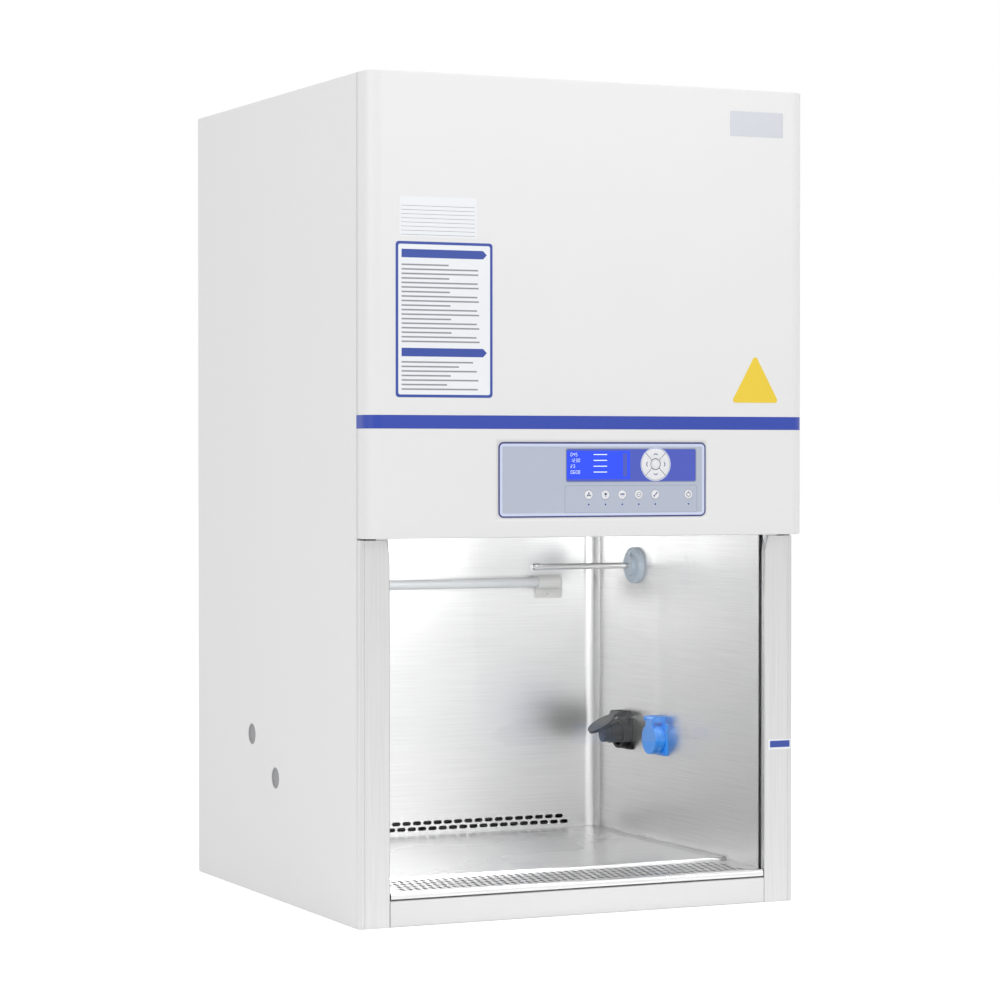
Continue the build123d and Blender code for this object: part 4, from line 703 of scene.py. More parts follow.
# figures on the screen: seven-stroke digits, row by row, with a bar beside each row
strokes = {0: "abcdef", 1: "bc", 2: "abged", 3: "abgcd", 4: "fgbc", 5: "afgcd", 6: "afgedc", 7: "abc",
           8: "abcdefg", 9: "abcdfg"}
strokeBoxes = {  # middle across and up as shares of the figure, then whether it lies or stands
    "a": (0.5, 1.0, 1, 0), "g": (0.5, 0.5, 1, 0), "d": (0.5, 0.0, 1, 0), "f": (0.0, 0.75, 0, 1),
    "e": (0.0, 0.25, 0, 1), "b": (1.0, 0.75, 0, 1), "c": (1.0, 0.25, 0, 1)}
screenText = {"rows": ((674.5, (0, 4, 5)), (666.0, (1, 2, 3, 0)), (657.5, (2, 3)),
                       (649.0, (0, 6, 0, 8))),
              "left": -38.0, "height": 4.6, "width": 2.4, "gap": 1.7, "line": 0.5,
              "barX": 10.0, "barLift": 2.3, "bar": (22.0, 1.1), "column": (50.5, 661.5, 7.0, 34.0)}


def slab(x, z, width, height, turn=0.0):
    # Rectangle about a place, turned by an angle in degrees.
    right, top = width / 2, height / 2
    return movedLoop([(-right, -top), (right, -top), (right, top), (-right, top)], x, z, turn)


def digitSlabs(figure, x, z):
    # Strokes of a digit: lying ones as long as its width, upright ones half its height.
    width, height, line = screenText["width"], screenText["height"], screenText["line"]
    slabs = []
    for letter in strokes[figure]:
        across, up, lying, upright = strokeBoxes[letter]
        slabs.append(slab(x + across * width, z + up * height, line + lying * (width - 2 * line),
                          line + upright * (height / 2 - 2 * line)))
    return slabs


figureSlabs = []
for rowZ, figures in screenText["rows"]:
    for place, figure in enumerate(figures):
        figureX = screenText["left"] + place * (screenText["width"] + screenText["gap"])
        figureSlabs += digitSlabs(figure, figureX, rowZ)
    figureSlabs.append(slab(screenText["barX"], rowZ + screenText["barLift"], *screenText["bar"]))
panelPrint("screenFigures", figureSlabs, "figures", screenMarks, slot="display_blue")
panelPrint("screenBar", [slab(*screenText["column"])], "bar", windowBlue, slot="display_blue")

# keys: white caps with a rounded edge, and their printed signs
capEdge = [(keyRow["edge"] * (1 - math.cos(turn)), keyRow["edge"] * (1 - math.sin(turn)))
           for turn in np.radians((0, 30, 60, 90))]
capLevels = [(0, keyRow["front"] + keyRow["thickness"])]  # insets and depths from the back to the front
capLevels += [(inset, keyRow["front"] + drop) for inset, drop in capEdge]

# signs: sizes are lengths and widths, turns are degrees
keySigns = {
    "fan_key": {"turns": (90, 210, 330), "reach": 2.0, "blade": (1.7, 1.05)},
    "light_key": {"turns": (0, 45, 90, 135, 180), "reach": 3.7, "ray": (1.3, 0.45), "lift": 0.8,
                  "bulb": 1.9, "foot": (1.8, 0.9), "footDrop": 2.4},
    "lamp_key": {"tube": (7.0, 1.7), "lift": 0.8, "beam": (0.5, 1.6), "beams": (-2.4, 0.0, 2.4),
                 "drop": 1.8},
    "outlet_key": {"ring": (3.6, 3.0), "pin": 0.6, "pins": (-1.3, 1.3)},
    "tools_key": {"handle": (6.0, 1.3), "head": (2.6, 1.0), "reach": 2.5, "turn": 45},
    "power_key": {"ring": (3.5, 2.7), "lift": 3.0, "stem": (1.0, 3.6)},
}


def blobLoop(x, z, long, wide, turn=0.0, steps=20):
    # Oval about a place: a circle stretched to its two half lengths and turned.
    return movedLoop(circleOutline(1, steps) * (long, wide), x, z, turn)


def roundPlaces(x, z, reach, turns):
    # Places round a middle: reach times the cosine and the sine of each turn, with the turn.
    angles = np.radians(turns)
    return zip(x + reach * np.cos(angles), z + reach * np.sin(angles), turns)


def keySign(kind, x, z):
    # Sign of a key as closed outlines about its middle.
    sign = keySigns[kind]
    if kind == "fan_key":
        return [blobLoop(bladeX, bladeZ, *sign["blade"], turn)
                for bladeX, bladeZ, turn in roundPlaces(x, z, sign["reach"], sign["turns"])]
    if kind == "light_key":
        bulbZ = z + sign["lift"]
        rays = [slab(rayX, rayZ, *sign["ray"], turn)
                for rayX, rayZ, turn in roundPlaces(x, bulbZ, sign["reach"], sign["turns"])]
        return [blobLoop(x, bulbZ, sign["bulb"], sign["bulb"]),
                slab(x, z - sign["footDrop"], *sign["foot"])] + rays
    if kind == "lamp_key":
        beams = [slab(x + side, z - sign["drop"], *sign["beam"]) for side in sign["beams"]]
        return [slab(x, z + sign["lift"], *sign["tube"])] + beams
    if kind == "outlet_key":
        pins = [blobLoop(x + side, z, sign["pin"], sign["pin"]) for side in sign["pins"]]
        return ringLoops(*sign["ring"], x, z) + pins
    if kind == "tools_key":
        reach, turn = sign["reach"], sign["turn"]
        return [slab(x, z, *sign["handle"], turn), slab(x + reach, z + reach, *sign["head"], -turn),
                slab(x - reach, z - reach, *sign["head"], -turn)]
    return ringLoops(*sign["ring"], x, z) + [slab(x, z + sign["lift"], *sign["stem"])]


for keyNode, keyX in keyRow["columns"].items():
    keyBody = keyNode.replace("_key", "_button")
    cap = stackedPlate(lambda inset: circleOutline(keyRow["radius"] - inset, keyRow["steps"]),
                       capLevels, facing("y", (keyX, 0, keyRow["z"])))
    makePiece(keyNode.replace("_key", "KeyCap"), *cap, keyWhite, keyBody, "key_plastic", [keyNode])
    signInk = navyInk if keyNode in ("lamp_key", "tools_key") else keyInk
    keyPrint(keyNode.replace("_key", "KeySign"), keySign(keyNode, keyX, keyRow["z"]), signInk, keyBody)


def quarterOutline(inset, turn):
    # Quarter of the pad: two arcs joined by edges that run beside the diagonals. An arc stops short of
    # the diagonal by the angle whose sine is half the split over the radius.
    outer, inner = padShape["radius"] - inset, padShape["core"] + inset
    split = padShape["split"] / 2 + inset
    outerTurn, innerTurn = math.degrees(math.asin(split / outer)), math.degrees(math.asin(split / inner))
    wide = arcPoints((0, 0), outer, turn - 45 + outerTurn, turn + 45 - outerTurn,
                     padShape["outerPoints"])
    narrow = arcPoints((0, 0), inner, turn + 45 - innerTurn, turn - 45 + innerTurn,
                       padShape["innerPoints"])
    return np.concatenate([wide, narrow])


chevron = {"reach": 15.5, "span": 3.4, "depth": 2.4, "line": 0.9, "armShare": 1.4, "tipShare": 0.7}


def chevronOutline():
    # Arrow head that points to the right: arms and tip are the line's width times their shares.
    reach, span, line = chevron["reach"], chevron["span"], chevron["line"]
    start, arm, tip = reach - chevron["depth"], line * chevron["armShare"], line * chevron["tipShare"]
    return [(start, -span), (start + arm, -span), (reach + tip, 0), (start + arm, span),
            (start, span), (reach - tip, 0)]


padPlace = facing("y", (padShape["x"], 0, padShape["z"]))
for direction, turn in (("right", 0), ("up", 90), ("left", 180), ("down", 270)):
    padNode, padBody = "nav_" + direction + "_key", "nav_" + direction + "_button"
    quarter = stackedPlate(lambda inset: quarterOutline(inset, turn), capLevels, padPlace)
    makePiece(direction + "PadKey", *quarter, keyWhite, padBody, "key_plastic", [padNode])
    arrow = movedLoop(chevronOutline(), padShape["x"], padShape["z"], turn)
    keyPrint(direction + "PadSign", [arrow], keyInk, padBody)
okCap = stackedPlate(lambda inset: circleOutline(padShape["ok"] - inset, padShape["okSteps"]),
                     capLevels, padPlace)
makePiece("okKeyCap", *okCap, keyWhite, "ok_button", "key_plastic", ["ok_key"])
okLoops = ringLoops(*padShape["okRing"], padShape["x"], padShape["z"], padShape["okSteps"])
keyPrint("okKeyRing", okLoops, keyRim, "ok_button")
panelPrint("padRim", ringLoops(padShape["radius"] + padShape["rim"], padShape["radius"] + well,
                               padShape["x"], padShape["z"], padShape["steps"]),
           "padRim", paleFilm, thickFilm)

# group line under the round keys, small lamps below them
groupLine = {"box": (-47.6, 169.4, 592.0, 631.8), "corner": 3.0, "line": 0.45, "lampZ": 604.0,
             "lamp": 1.5, "lampRim": 0.6, "lampSteps": 24}
panelPrint("groupLine", [boxLoop(*groupLine["box"], groupLine["corner"], inset)
                         for inset in (0.0, groupLine["line"])], "groupLine", panelLines)
for keyNode, keyX in keyRow["columns"].items():
    outer, inner = groupLine["lamp"] + groupLine["lampRim"], groupLine["lamp"]
    lampLoops = ringLoops(outer, inner, keyX, groupLine["lampZ"], groupLine["lampSteps"])
    panelPrint(keyNode.replace("_key", "Lamp"), lampLoops[1:], "lamp", navyInk, thickFilm)
    panelPrint(keyNode.replace("_key", "LampRim"), lampLoops, "lampRim", paleFilm, thickFilm)
print("cabinet: control panel made")

# stickers and plates on the cover and the right post: sides, heights, corner, rise off the sheet
coverFront, postFront = cabinet["frontOfCover"], cabinet["frontOfPosts"]
stickers = {
    "silverPlate": {"box": (225.0, 315.0, 1150.0, 1187.0), "corner": 2.0, "rise": 0.25},
    "ratingPlate": {"box": (-307.0, -187.5, 985.5, 1042.7), "corner": 2.0, "rise": 0.25},
    "sheetBorder": {"box": (-313.0, -162.5, 758.0, 979.0), "corner": 5.0, "rise": 0.22},
    "sheetField": {"box": (-309.0, -166.5, 762.0, 975.0), "corner": 3.0, "rise": 0.26},
    "markField": {"box": (312.0, 351.0, 231.0, 246.0), "corner": 0.5, "rise": 0.2},
    "markBar": {"box": (315.0, 349.0, 234.0, 244.0), "corner": 0.3, "rise": 0.25},
}
stickerFilm, inkRise = 0.3, 0.30


def sticker(name, material, front=coverFront, body="cover", slot="panel_film"):
    # Rounded rectangle in front of a sheet by its rise.
    label = stickers[name]
    loop = boxLoop(*label["box"], label["corner"])
    return filmPiece(name, [loop], front - label["rise"], stickerFilm, material, body=body, slot=slot)


sticker("silverPlate", labelSilver)
sticker("ratingPlate", labelWhite)
sticker("sheetBorder", labelBlue)
sticker("sheetField", labelWhite)

# instruction sheet: two arrow banners, and grey lines under each of them
sheetMarks = {"left": -304.0, "right": -171.5, "banners": (962.0, 822.0), "banner": 12.0, "line": 2.2,
              "step": 6.4, "swing": 0.4}
sheetBlocks = ({"rows": (946.0, 832.0), "least": 0.55, "pace": 2.1, "shift": 0},
               {"rows": (808.0, 768.0), "least": 0.5, "pace": 1.7, "shift": 1})


def bannerLoop(z):
    # Bar whose right end comes to a point half its height long.
    left, right, tip = sheetMarks["left"], sheetMarks["right"], sheetMarks["banner"] / 2
    return [(left, z - tip), (right - tip, z - tip), (right, z), (right - tip, z + tip), (left, z + tip)]


def sheetRows(rows, least, pace, shift):
    # Lines of a sheet: the sheet's width times a share that swings with the sine of the line's number.
    slabs = []
    for number, lineZ in enumerate(np.arange(*rows, -sheetMarks["step"])):
        share = least + sheetMarks["swing"] * abs(math.sin(pace * number + shift))
        length = (sheetMarks["right"] - sheetMarks["left"]) * share
        slabs.append(slab(sheetMarks["left"] + length / 2, lineZ, length, sheetMarks["line"]))
    return slabs


for number, bannerZ in enumerate(sheetMarks["banners"]):
    filmPiece("sheetBanner" + str(number), [bannerLoop(bannerZ)], coverFront - inkRise, thickFilm,
              labelBlue)
sheetSlabs = [line for block in sheetBlocks for line in sheetRows(**block)]
filmPiece("sheetLines", sheetSlabs, coverFront - inkRise, thickFilm, labelGrey)

# rating plate: plain grey lines
tableMarks = {"left": -304.5, "right": -190.0, "low": 988.5, "high": 1039.7, "rows": 8, "line": 0.6,
              "headShare": 0.2}
tableWidth = tableMarks["right"] - tableMarks["left"]
tableHeight = tableMarks["high"] - tableMarks["low"]
tableX = (tableMarks["left"] + tableMarks["right"]) / 2
tableTop = tableMarks["high"] - tableMarks["headShare"] * tableHeight
tableSlabs = [slab(tableX, rowZ, tableWidth, tableMarks["line"])
              for rowZ in np.linspace(tableMarks["low"], tableTop, tableMarks["rows"])]
filmPiece("tableLines", tableSlabs, coverFront - inkRise, thickFilm, labelGrey)

# plain triangle with round corners; its outline starts on the left edge
triangle = {"left": (227.4, 754.0), "right": (308.4, 754.0), "tip": (268.0, 826.0),
            "start": (248.0, 790.0), "corner": 4.0, "rise": 0.28}
triangleLine = bentLine([triangle[key] for key in ("start", "left", "right", "tip", "start")],
                        (triangle["corner"],) * 3)[1:]
filmPiece("yellowTriangle", [triangleLine], coverFront - triangle["rise"], stickerFilm, labelYellow)
sticker("markField", labelWhite, postFront, "cabinet", "painted_shell")
sticker("markBar", labelBlue, postFront, "cabinet", "painted_shell")
print("cabinet: stickers made")


# side skins: pressed trays with rounded folds
sidePanel = {"fold": 2.2, "foldPoints": 6, "flange": 12.0, "thickness": 1.5, "corner": 3.0,
             "hole": 16.0, "holes": ((113.0, 244.0), (10.0, 185.0)), "holeSteps": 48,
             "cornerSteps": 5, "softEdge": 0.3, "sharp": 8}


def sideTray(side):
    # Levels of a rounded rectangle: the face, a quarter-round fold and the flange that runs inwards.
    front, back, height = cabinet["frontOfSides"], cabinet["back"], cabinet["height"]
    place = facing("x", (side * cabinet["halfWidth"], (front + back) / 2, height / 2))
    fold = sidePanel["fold"]
    turns = np.radians(np.linspace(90, 0, sidePanel["foldPoints"]))
    levels = [(fold - fold * math.cos(turn), fold - fold * math.sin(turn)) for turn in turns]
    levels.append((0, sidePanel["flange"]))
    rings = []
    for inset, depth in levels:
        outline = roundedOutline(back - front - 2 * inset, height - 2 * inset,
                                 sidePanel["corner"] - inset / 2, sidePanel["cornerSteps"])
        rings.append(place(outline, -side * depth))
    rings = np.array(rings)
    faces = gridFaces(*rings.shape[:2], closedColumns=True)
    if side < 0:
        faces = faces[:, ::-1]
    return rings.reshape(-1, 3), faces.tolist(), rings[0]


sideSkins = ((-1, "leftSkin", "left_side_panel"), (1, "rightSkin", "right_side_panel"))
for side, sideName, sideNode in sideSkins:
    trayPoints, trayFaces, rim = sideTray(side)
    loops = [rim[:, 1:]]
    if side < 0:
        loops += [discLoop(sidePanel["hole"], y, z, sidePanel["holeSteps"])
                  for y, z in sidePanel["holes"]]
    flat, triangles = filledLoops(loops)
    facePoints = np.column_stack([np.full(len(flat), side * cabinet["halfWidth"]), flat])
    skinPoints, skinFaces = joined([(trayPoints, trayFaces), (facePoints, triangles)])
    skin = makePiece(sideName, skinPoints, skinFaces, shellPaint, "cabinet", "painted_shell", [sideNode],
                     sharp=sidePanel["sharp"])
    if skin.data.polygons[-1].normal.x * side < 0:
        skin.data.flip_normals()
    thicken(skin, sidePanel["thickness"])
    softenEdges(skin, sidePanel["softEdge"])
print("cabinet: sides made")

# plugs of the service holes: a dished disc with a rounded rim, as radii and heights
plugProfile = [(15.7, 3.0), (15.7, 0.9), (15.4, 0.35), (14.8, 0.1), (13.4, 0.1), (12.9, 0.5),
               (12.4, 1.3), (1.0, 1.5)]
plugSkins = [turnedSkin(plugProfile, facing("x", (-cabinet["halfWidth"], y, z)), 40)
             for y, z in sidePanel["holes"]]
makePiece("servicePlugs", *joined(plugSkins), plugGrey, "cabinet", "grey_plastic",
          ["service_hole_plugs"])

# grille: slots in four staggered rows, lip and stepped foot folded from the same sheet
grille = {"half": 304.5, "pitch": 11.8, "columns": 48, "bandStart": -314.75, "bandDepth": 25.5, "rows": 4,
          "slotLength": 20.0, "slotWidth": 4.8, "thickness": 1.2, "back": -209.0,
          "front": -326.0, "foot": 40.0, "footStep": 2.0, "stepFront": -320.4, "stepBack": -317.4,
          "footBack": -312.0, "footBend": 1.0, "noseBend": 5.0, "rearBend": 1.8, "rearDrop": 9.0,
          "bendSteps": 4, "softEdge": 0.22}


def grilleLine():
    # Folded profile from the foot round the nose over the slotted top to the rear edge, and the number
    # of the point where the first slotted band starts.
    front, top, foot, steps = grille["front"], cabinet["sill"], grille["foot"], grille["bendSteps"]
    under = foot - grille["footStep"]
    head = bentLine([(grille["footBack"], under), (grille["stepBack"], under), (grille["stepFront"], foot),
                     (front, foot), (front, top), (grille["bandStart"], top)],
                    (grille["footBend"],) * 3 + (grille["noseBend"],), steps)
    bands = grille["bandStart"] + grille["bandDepth"] * np.arange(1, grille["rows"] + 1)
    flat = np.column_stack([bands, np.full(len(bands), top)])
    tail = bentLine([(bands[-1], top), (grille["back"], top), (grille["back"], top - grille["rearDrop"])],
                    (grille["rearBend"],), steps)
    return np.concatenate([head, flat, tail[1:]]), len(head) - 1


def grilleSheet():
    # Across runs over the columns' half pitches; along follows the folded profile.
    halves = np.arange(2 * grille["columns"] + 1) - grille["columns"]
    lines = np.concatenate([[-grille["half"]], halves * grille["pitch"] / 2, [grille["half"]]])
    across = np.column_stack([lines, np.zeros((len(lines), 2))])
    profile, firstBand = grilleLine()
    along = np.column_stack([np.zeros(len(profile)), profile])
    slotBands = {firstBand + row: (1 + row % 2, grille["columns"] - row % 2)
                 for row in range(grille["rows"])}
    return punchedSheet(across, along, slotBands,
                        slotOutline(grille["slotLength"], grille["slotWidth"], True))


frontGrille = makePiece("frontGrille", *grilleSheet(), grilleSteel, "cabinet", "brushed_stainless",
                        ["front_grille"], closed=False)
thicken(frontGrille, grille["thickness"])
softenEdges(frontGrille, grille["softEdge"])

# back wall: two staggered rows of return slots between coved corners
backWall = {"half": 304.95, "cove": 19.25, "covePoints": 11, "thickness": 1.5, "pitch": 18.4,
            "columns": 28, "rowPitch": 9.4, "rowsMiddle": 68.8, "slotLength": 14.5, "slotWidth": 6.4,
            "bottom": 2.0, "softEdge": 0.25}


def backSheet():
    # Across follows the wall and its coves, along runs straight up.
    columns, count, cove = backWall["columns"], backWall["covePoints"], backWall["cove"]
    halves = (np.arange(2 * columns + 1) - columns) * backWall["pitch"] / 2
    half, wall = backWall["half"] - backWall["thickness"], cabinet["chamberBack"]
    right = arcPoints((half - cove, wall - cove), cove, 90, 0, count)
    left = arcPoints((-half + cove, wall - cove), cove, 180, 90, count)
    flat = np.column_stack([halves, np.full(len(halves), wall)])
    plan = np.concatenate([left, flat, right])
    across = np.column_stack([plan, np.zeros(len(plan))])
    middle, rowPitch = backWall["rowsMiddle"], backWall["rowPitch"]
    heights = [backWall["bottom"], middle - rowPitch, middle, middle + rowPitch, cabinet["ceiling"]]
    along = np.column_stack([np.zeros((len(heights), 2)), heights])
    slotBands = {1: (count, columns), 2: (count + 1, columns - 1)}
    return punchedSheet(across, along, slotBands,
                        slotOutline(backWall["slotLength"], backWall["slotWidth"], False))


chamberBack = makePiece("chamberBack", *backSheet(), backSteel, "cabinet", "brushed_stainless",
                        ["inner_back_wall"], closed=False)
thicken(chamberBack, backWall["thickness"])
softenEdges(chamberBack, backWall["softEdge"])
print("cabinet: grille and back wall made")

# worktop: a grid whose half width shrinks round the rear corners, bent down at the front
worktopShape = {"half": 304.4, "front": -208.5, "back": 249.7, "corner": 28.0, "cornerPoints": 12,
                "lip": 5.0, "lipSteps": 6, "lipRoom": 12.0, "flatPoints": 8, "columns": 25,
                "skirt": 22.0, "thickness": 1.2}


def worktopSheet():
    # Along: from the rear edge to the front, round the lip and down. Across: minus one to one times the
    # half width, which near the rear corners is the circle's own width.
    back, front, top = worktopShape["back"], worktopShape["front"], cabinet["worktop"]
    radius, half, columns = worktopShape["corner"], worktopShape["half"], worktopShape["columns"]
    turn = np.radians(np.linspace(90, 0, worktopShape["cornerPoints"]))
    rear = back - radius + radius * np.sin(turn)
    lipStart = front + worktopShape["lipRoom"]
    flat = np.linspace(back - radius, lipStart, worktopShape["flatPoints"])[1:]
    line = bentLine([(lipStart, top), (front, top), (front, top - worktopShape["skirt"])],
                    (worktopShape["lip"],), worktopShape["lipSteps"])[1:]
    depth = np.concatenate([rear, flat, line[:, 0]])
    height = np.concatenate([np.full(len(rear) + len(flat), top), line[:, 1]])
    short = np.clip(depth - (back - radius), 0, radius)
    reach = half - radius + np.sqrt(np.maximum(radius ** 2 - short ** 2, 0))
    share = np.linspace(-1, 1, columns)
    points = np.stack([reach[:, None] * share, np.repeat(depth[:, None], columns, 1),
                       np.repeat(height[:, None], columns, 1)], -1)
    return points.reshape(-1, 3), gridFaces(len(depth), columns)[:, ::-1].tolist()


worktopPiece = makePiece("worktopSheet", *worktopSheet(), worktopSteel, "cabinet", "brushed_stainless",
                         ["work_surface"], closed=False)
thicken(worktopPiece, worktopShape["thickness"])
print("cabinet: worktop made")


# posts: a bent section pushed up, with the groove and the notch at the top
post = {"outer": 355.0, "inner": 306.0, "bendOuter": 7.0, "bendInner": 2.5, "bendSteps": 8,
        "thickness": 1.5, "top": 554.5, "groove": 346.0, "grooveWidth": 1.2, "grooveDepth": 0.6,
        "grooveSlope": 0.1, "return": -317.0, "notchWidth": 5.0, "notchHeight": 22.0, "softEdge": 0.2}


def postSection(notch):
    # Outline of the bent section; the inner fold starts further out where the notch is. The inside is
    # the same line a wall's thickness further in, with smaller bends.
    wall, steps = post["thickness"], post["bendSteps"]
    front, outer, inner = cabinet["frontOfPosts"], post["outer"], post["inner"] + notch
    foldEnd = post["inner"] + notch / 2
    bends = np.array([post["bendOuter"], post["bendInner"]])
    skin = bentLine([(outer, cabinet["coverBack"]), (outer, front), (inner, front),
                     (foldEnd, post["return"])], bends, steps)
    inside = bentLine([(outer - wall, cabinet["coverBack"]), (outer - wall, front + wall),
                       (inner + wall, front + wall), (foldEnd + wall, post["return"])],
                      bends - wall, steps)
    middle, gap, slope = post["groove"], post["grooveWidth"] / 2, post["grooveSlope"]
    floor = front + post["grooveDepth"]
    groove = [(middle + gap, front), (middle + gap - slope, floor), (middle - gap + slope, floor),
              (middle - gap, front)]
    firstBend = steps + 2
    return np.concatenate([skin[:firstBend], groove, skin[firstBend:], inside[::-1]])


for side, postName, postNode in ((-1, "leftPost", "left_post"), (1, "rightPost", "right_post")):
    rings = []
    heights = (0, post["top"] - post["notchHeight"], post["top"])
    for height, notch in zip(heights, (0, 0, post["notchWidth"])):
        section = postSection(notch)
        levels = np.full(len(section), height)
        rings.append(np.column_stack([side * section[:, 0], section[:, 1], levels]))
    postPiece = makePiece(postName, *ringSkin(rings), postSteel, "cabinet", "brushed_stainless",
                          [postNode])
    softenEdges(postPiece, post["softEdge"])

# base front: folded sheet under the grille
baseFront = {"half": 305.5, "front": -326.0, "footBack": -319.3, "height": 37.4, "thickness": 1.5,
             "shelf": 14.0, "bend": 1.5, "softEdge": 0.15}
baseWall = baseFront["thickness"] / 2
baseY, baseTop = baseFront["front"] + baseWall, baseFront["height"] - baseWall
baseLine = bentLine([(baseFront["footBack"], baseWall), (baseY, baseWall), (baseY, baseTop),
                     (baseY + baseFront["shelf"], baseTop)], (baseFront["bend"],) * 2)
baseOutline = thickLine(baseLine, baseFront["thickness"])
baseRings = [np.column_stack([np.full(len(baseOutline), x), baseOutline])
             for x in (-baseFront["half"], baseFront["half"])]
basePiece = makePiece("baseFront", *ringSkin(baseRings), shellPaint, "cabinet", "painted_shell",
                      ["base_front_panel"])
softenEdges(basePiece, baseFront["softEdge"])

# window: a pane with rounded corners and ground edges
pane = {"half": 318.8, "bottom": 250.5, "top": 840.5, "front": -315.7, "thickness": 5.0, "corner": 3.0,
        "cornerSteps": 4, "edge": 0.7, "edgeStep": 0.2}
edge, step, thickness = pane["edge"], pane["edgeStep"], pane["thickness"]
paneLevels = [(edge, 0), (step, step), (0, edge), (0, thickness - edge), (step, thickness - step),
              (edge, thickness)]


def paneOutline(inset):
    # Face of the pane, set in.
    return roundedOutline(2 * (pane["half"] - inset), pane["top"] - pane["bottom"] - 2 * inset,
                          pane["corner"], pane["cornerSteps"])


paneSkin = stackedPlate(paneOutline, paneLevels,
                        facing("y", (0, pane["front"], (pane["bottom"] + pane["top"]) / 2)))
makePiece("sashPane", *paneSkin, sashGlass, "sash", "clear_glass", ["sash_glass"])
print("cabinet: posts, base and window made")

# finish of the frame's own meshes; the rest have a new piece in their place and get plain white
finishes = {
    "back_panel": shellPaint, "top_panel": shellPaint, "base_frame": zincSheet,
    "power_inlet": blackPlastic, "service_hole_plugs": greyPlastic, "sash_rails": railMetal,
    "inner_left_wall": wallSteel, "inner_right_wall": wallSteel, "drain_pan": panSteel,
    "diffuser": grilleSteel, "supply_filter": paperMedia, "exhaust_filter": paperMedia,
    "plenum_box": zincSheet, "blower_housing": zincSheet, "blower_motor": motorPaint,
    "impeller": zincSheet, "control_box": greyPlastic, "work_lamp": whitePlastic,
    "lamp_tube": tubeGlass, "lamp_holders": whitePlastic, "probe_flange": probePlastic,
    "probe_rod": brightSteel, "black_socket": blackPlastic, "black_socket_lid": blackPlastic,
    "socket_adapter": blackPlastic, "blue_socket": bluePlastic, "blue_socket_lid": bluePlastic,
    "sash_fittings": blackPlastic, "sash_belts": beltRubber, "drive_shaft": brightSteel,
    "left_idler": railMetal, "right_idler": railMetal, "drive_brackets": brightSteel,
    "sash_gearmotor": motorPaint, "cover_hinge": brightSteel, "cover_hinge_leaf": brightSteel,
    "control_fascia": navyInk, "display_window": windowBlue,
}
for nodeName, nodeObject in nodes.items():
    nodeObject.data.materials.clear()
    nodeObject.data.materials.append(finishes.get(nodeName, keyWhite))
print("cabinet: finishes set")

# floor, backdrop and lamps
stage = {"floorHalf": 30, "floorColour": 0.88, "floorLift": 0.45, "worldFill": 0.64}
half = stage["floorHalf"]
floorMesh = bpy.data.meshes.new("studioFloor")
floorMesh.from_pydata([(-half, -half, 0), (half, -half, 0), (half, half, 0), (-half, half, 0)], [],
                      [(0, 1, 2, 3)])
studioFloor = bpy.data.objects.new("studioFloor", floorMesh)
scene.collection.objects.link(studioFloor)
floorMaterial = bpy.data.materials.new("floorWhite")
floorMaterial.use_nodes = True
floorTree = floorMaterial.node_tree
floorShader = floorTree.nodes["Principled BSDF"]
floorShader.inputs["Base Color"].default_value = (*[stage["floorColour"]] * 3, 1)
floorShader.inputs["Roughness"].default_value = 0.9
floorShader.inputs["Emission Color"].default_value = (1, 1, 1, 1)
floorPath = floorTree.nodes.new("ShaderNodeLightPath")


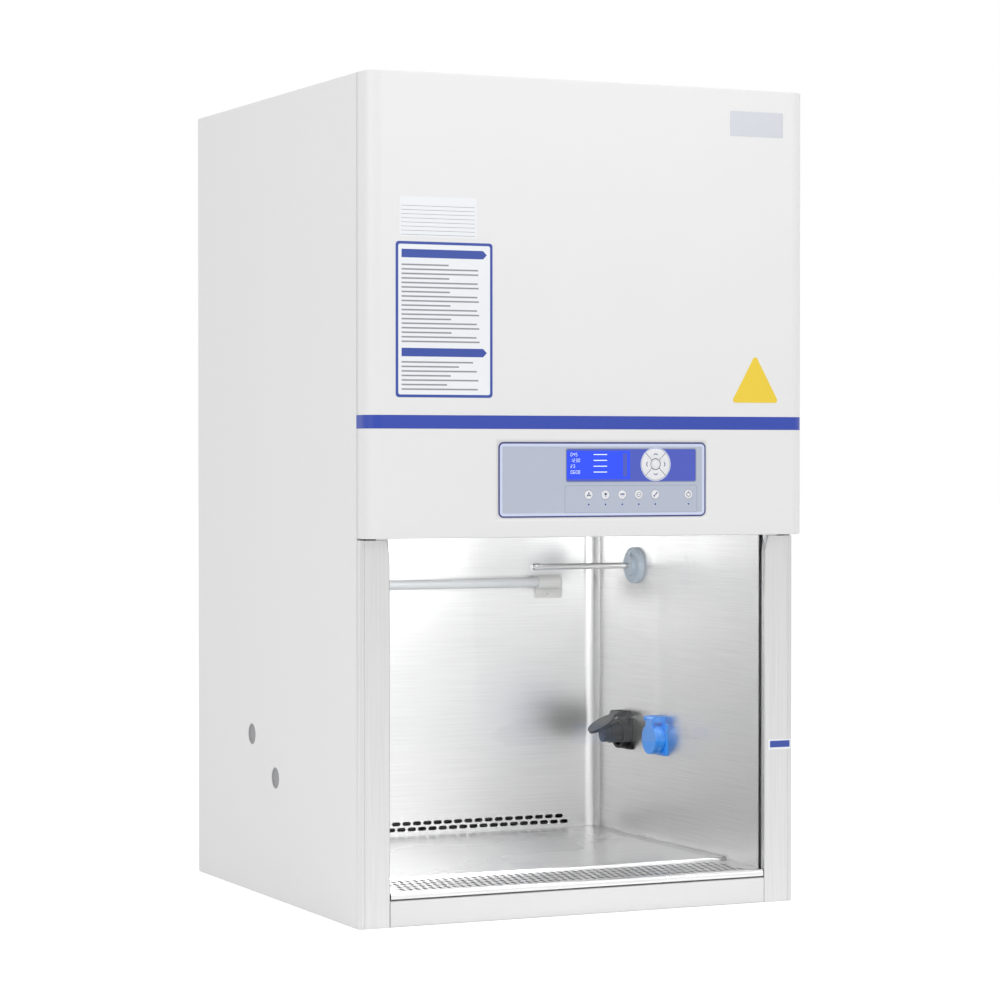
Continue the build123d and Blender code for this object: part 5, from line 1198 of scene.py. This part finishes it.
def seenShare(tree, path):
    # One where the camera, a reflection or glass sees the surface, else nothing.
    seen = tree.nodes.new("ShaderNodeMath")
    seen.operation = "MAXIMUM"
    tree.links.new(path.outputs["Is Camera Ray"], seen.inputs[0])
    tree.links.new(path.outputs["Is Glossy Ray"], seen.inputs[1])
    both = tree.nodes.new("ShaderNodeMath")
    both.operation = "MAXIMUM"
    tree.links.new(seen.outputs[0], both.inputs[0])
    tree.links.new(path.outputs["Is Transmission Ray"], both.inputs[1])
    return both.outputs[0]


lift = floorTree.nodes.new("ShaderNodeMath")
lift.operation = "MULTIPLY"
lift.inputs[1].default_value = stage["floorLift"]
floorTree.links.new(seenShare(floorTree, floorPath), lift.inputs[0])
floorTree.links.new(lift.outputs[0], floorShader.inputs["Emission Strength"])
floorMesh.materials.append(floorMaterial)

world = bpy.data.worlds.new("studioWorld")
scene.world = world
world.use_nodes = True
worldTree = world.node_tree
background = worldTree.nodes["Background"]
worldPath = worldTree.nodes.new("ShaderNodeLightPath")
strength = worldTree.nodes.new("ShaderNodeMapRange")
strength.inputs["To Min"].default_value = stage["worldFill"]
strength.inputs["To Max"].default_value = 1.0
worldTree.links.new(seenShare(worldTree, worldPath), strength.inputs["Value"])
worldTree.links.new(strength.outputs[0], background.inputs["Strength"])
background.inputs["Color"].default_value = (1, 1, 1, 1)


# lamps: place and target in metres, power in watts
studioLamps = {
    "keyLamp": {"place": (1.2, -3.6, 2.6), "target": (0, 0, 0.6), "size": 2.0, "power": 37.0},
    "sideLamp": {"place": (-3.2, -1.2, 1.9), "target": (0, 0, 0.6), "size": 1.8, "power": 26.0},
    "topLamp": {"place": (0.3, -0.6, 3.4), "target": (0, 0, 0.6), "size": 2.0, "power": 18.0},
    "chamberLamp": {"place": (0.0, -0.12, 0.56), "target": (0, 0.1, 0), "size": 0.4, "power": 2.5},
}


def areaLamp(name, place, target, size, power):
    # Square lamp that faces its target: tilt from straight down, then turn about the upright axis.
    data = bpy.data.lights.new(name, "AREA")
    data.shape = "SQUARE"
    data.size = size
    data.energy = power
    lamp = bpy.data.objects.new(name, data)
    lamp.location = place
    away, deep, up = np.subtract(target, place)
    tilt = math.atan2(math.hypot(away, deep), -up)
    lamp.rotation_euler = (tilt, 0, math.atan2(deep, away) - math.pi / 2)
    scene.collection.objects.link(lamp)


for lampName, lampValues in studioLamps.items():
    areaLamp(lampName, **lampValues)
scene.view_settings.view_transform = "Standard"
print("cabinet: studio set")
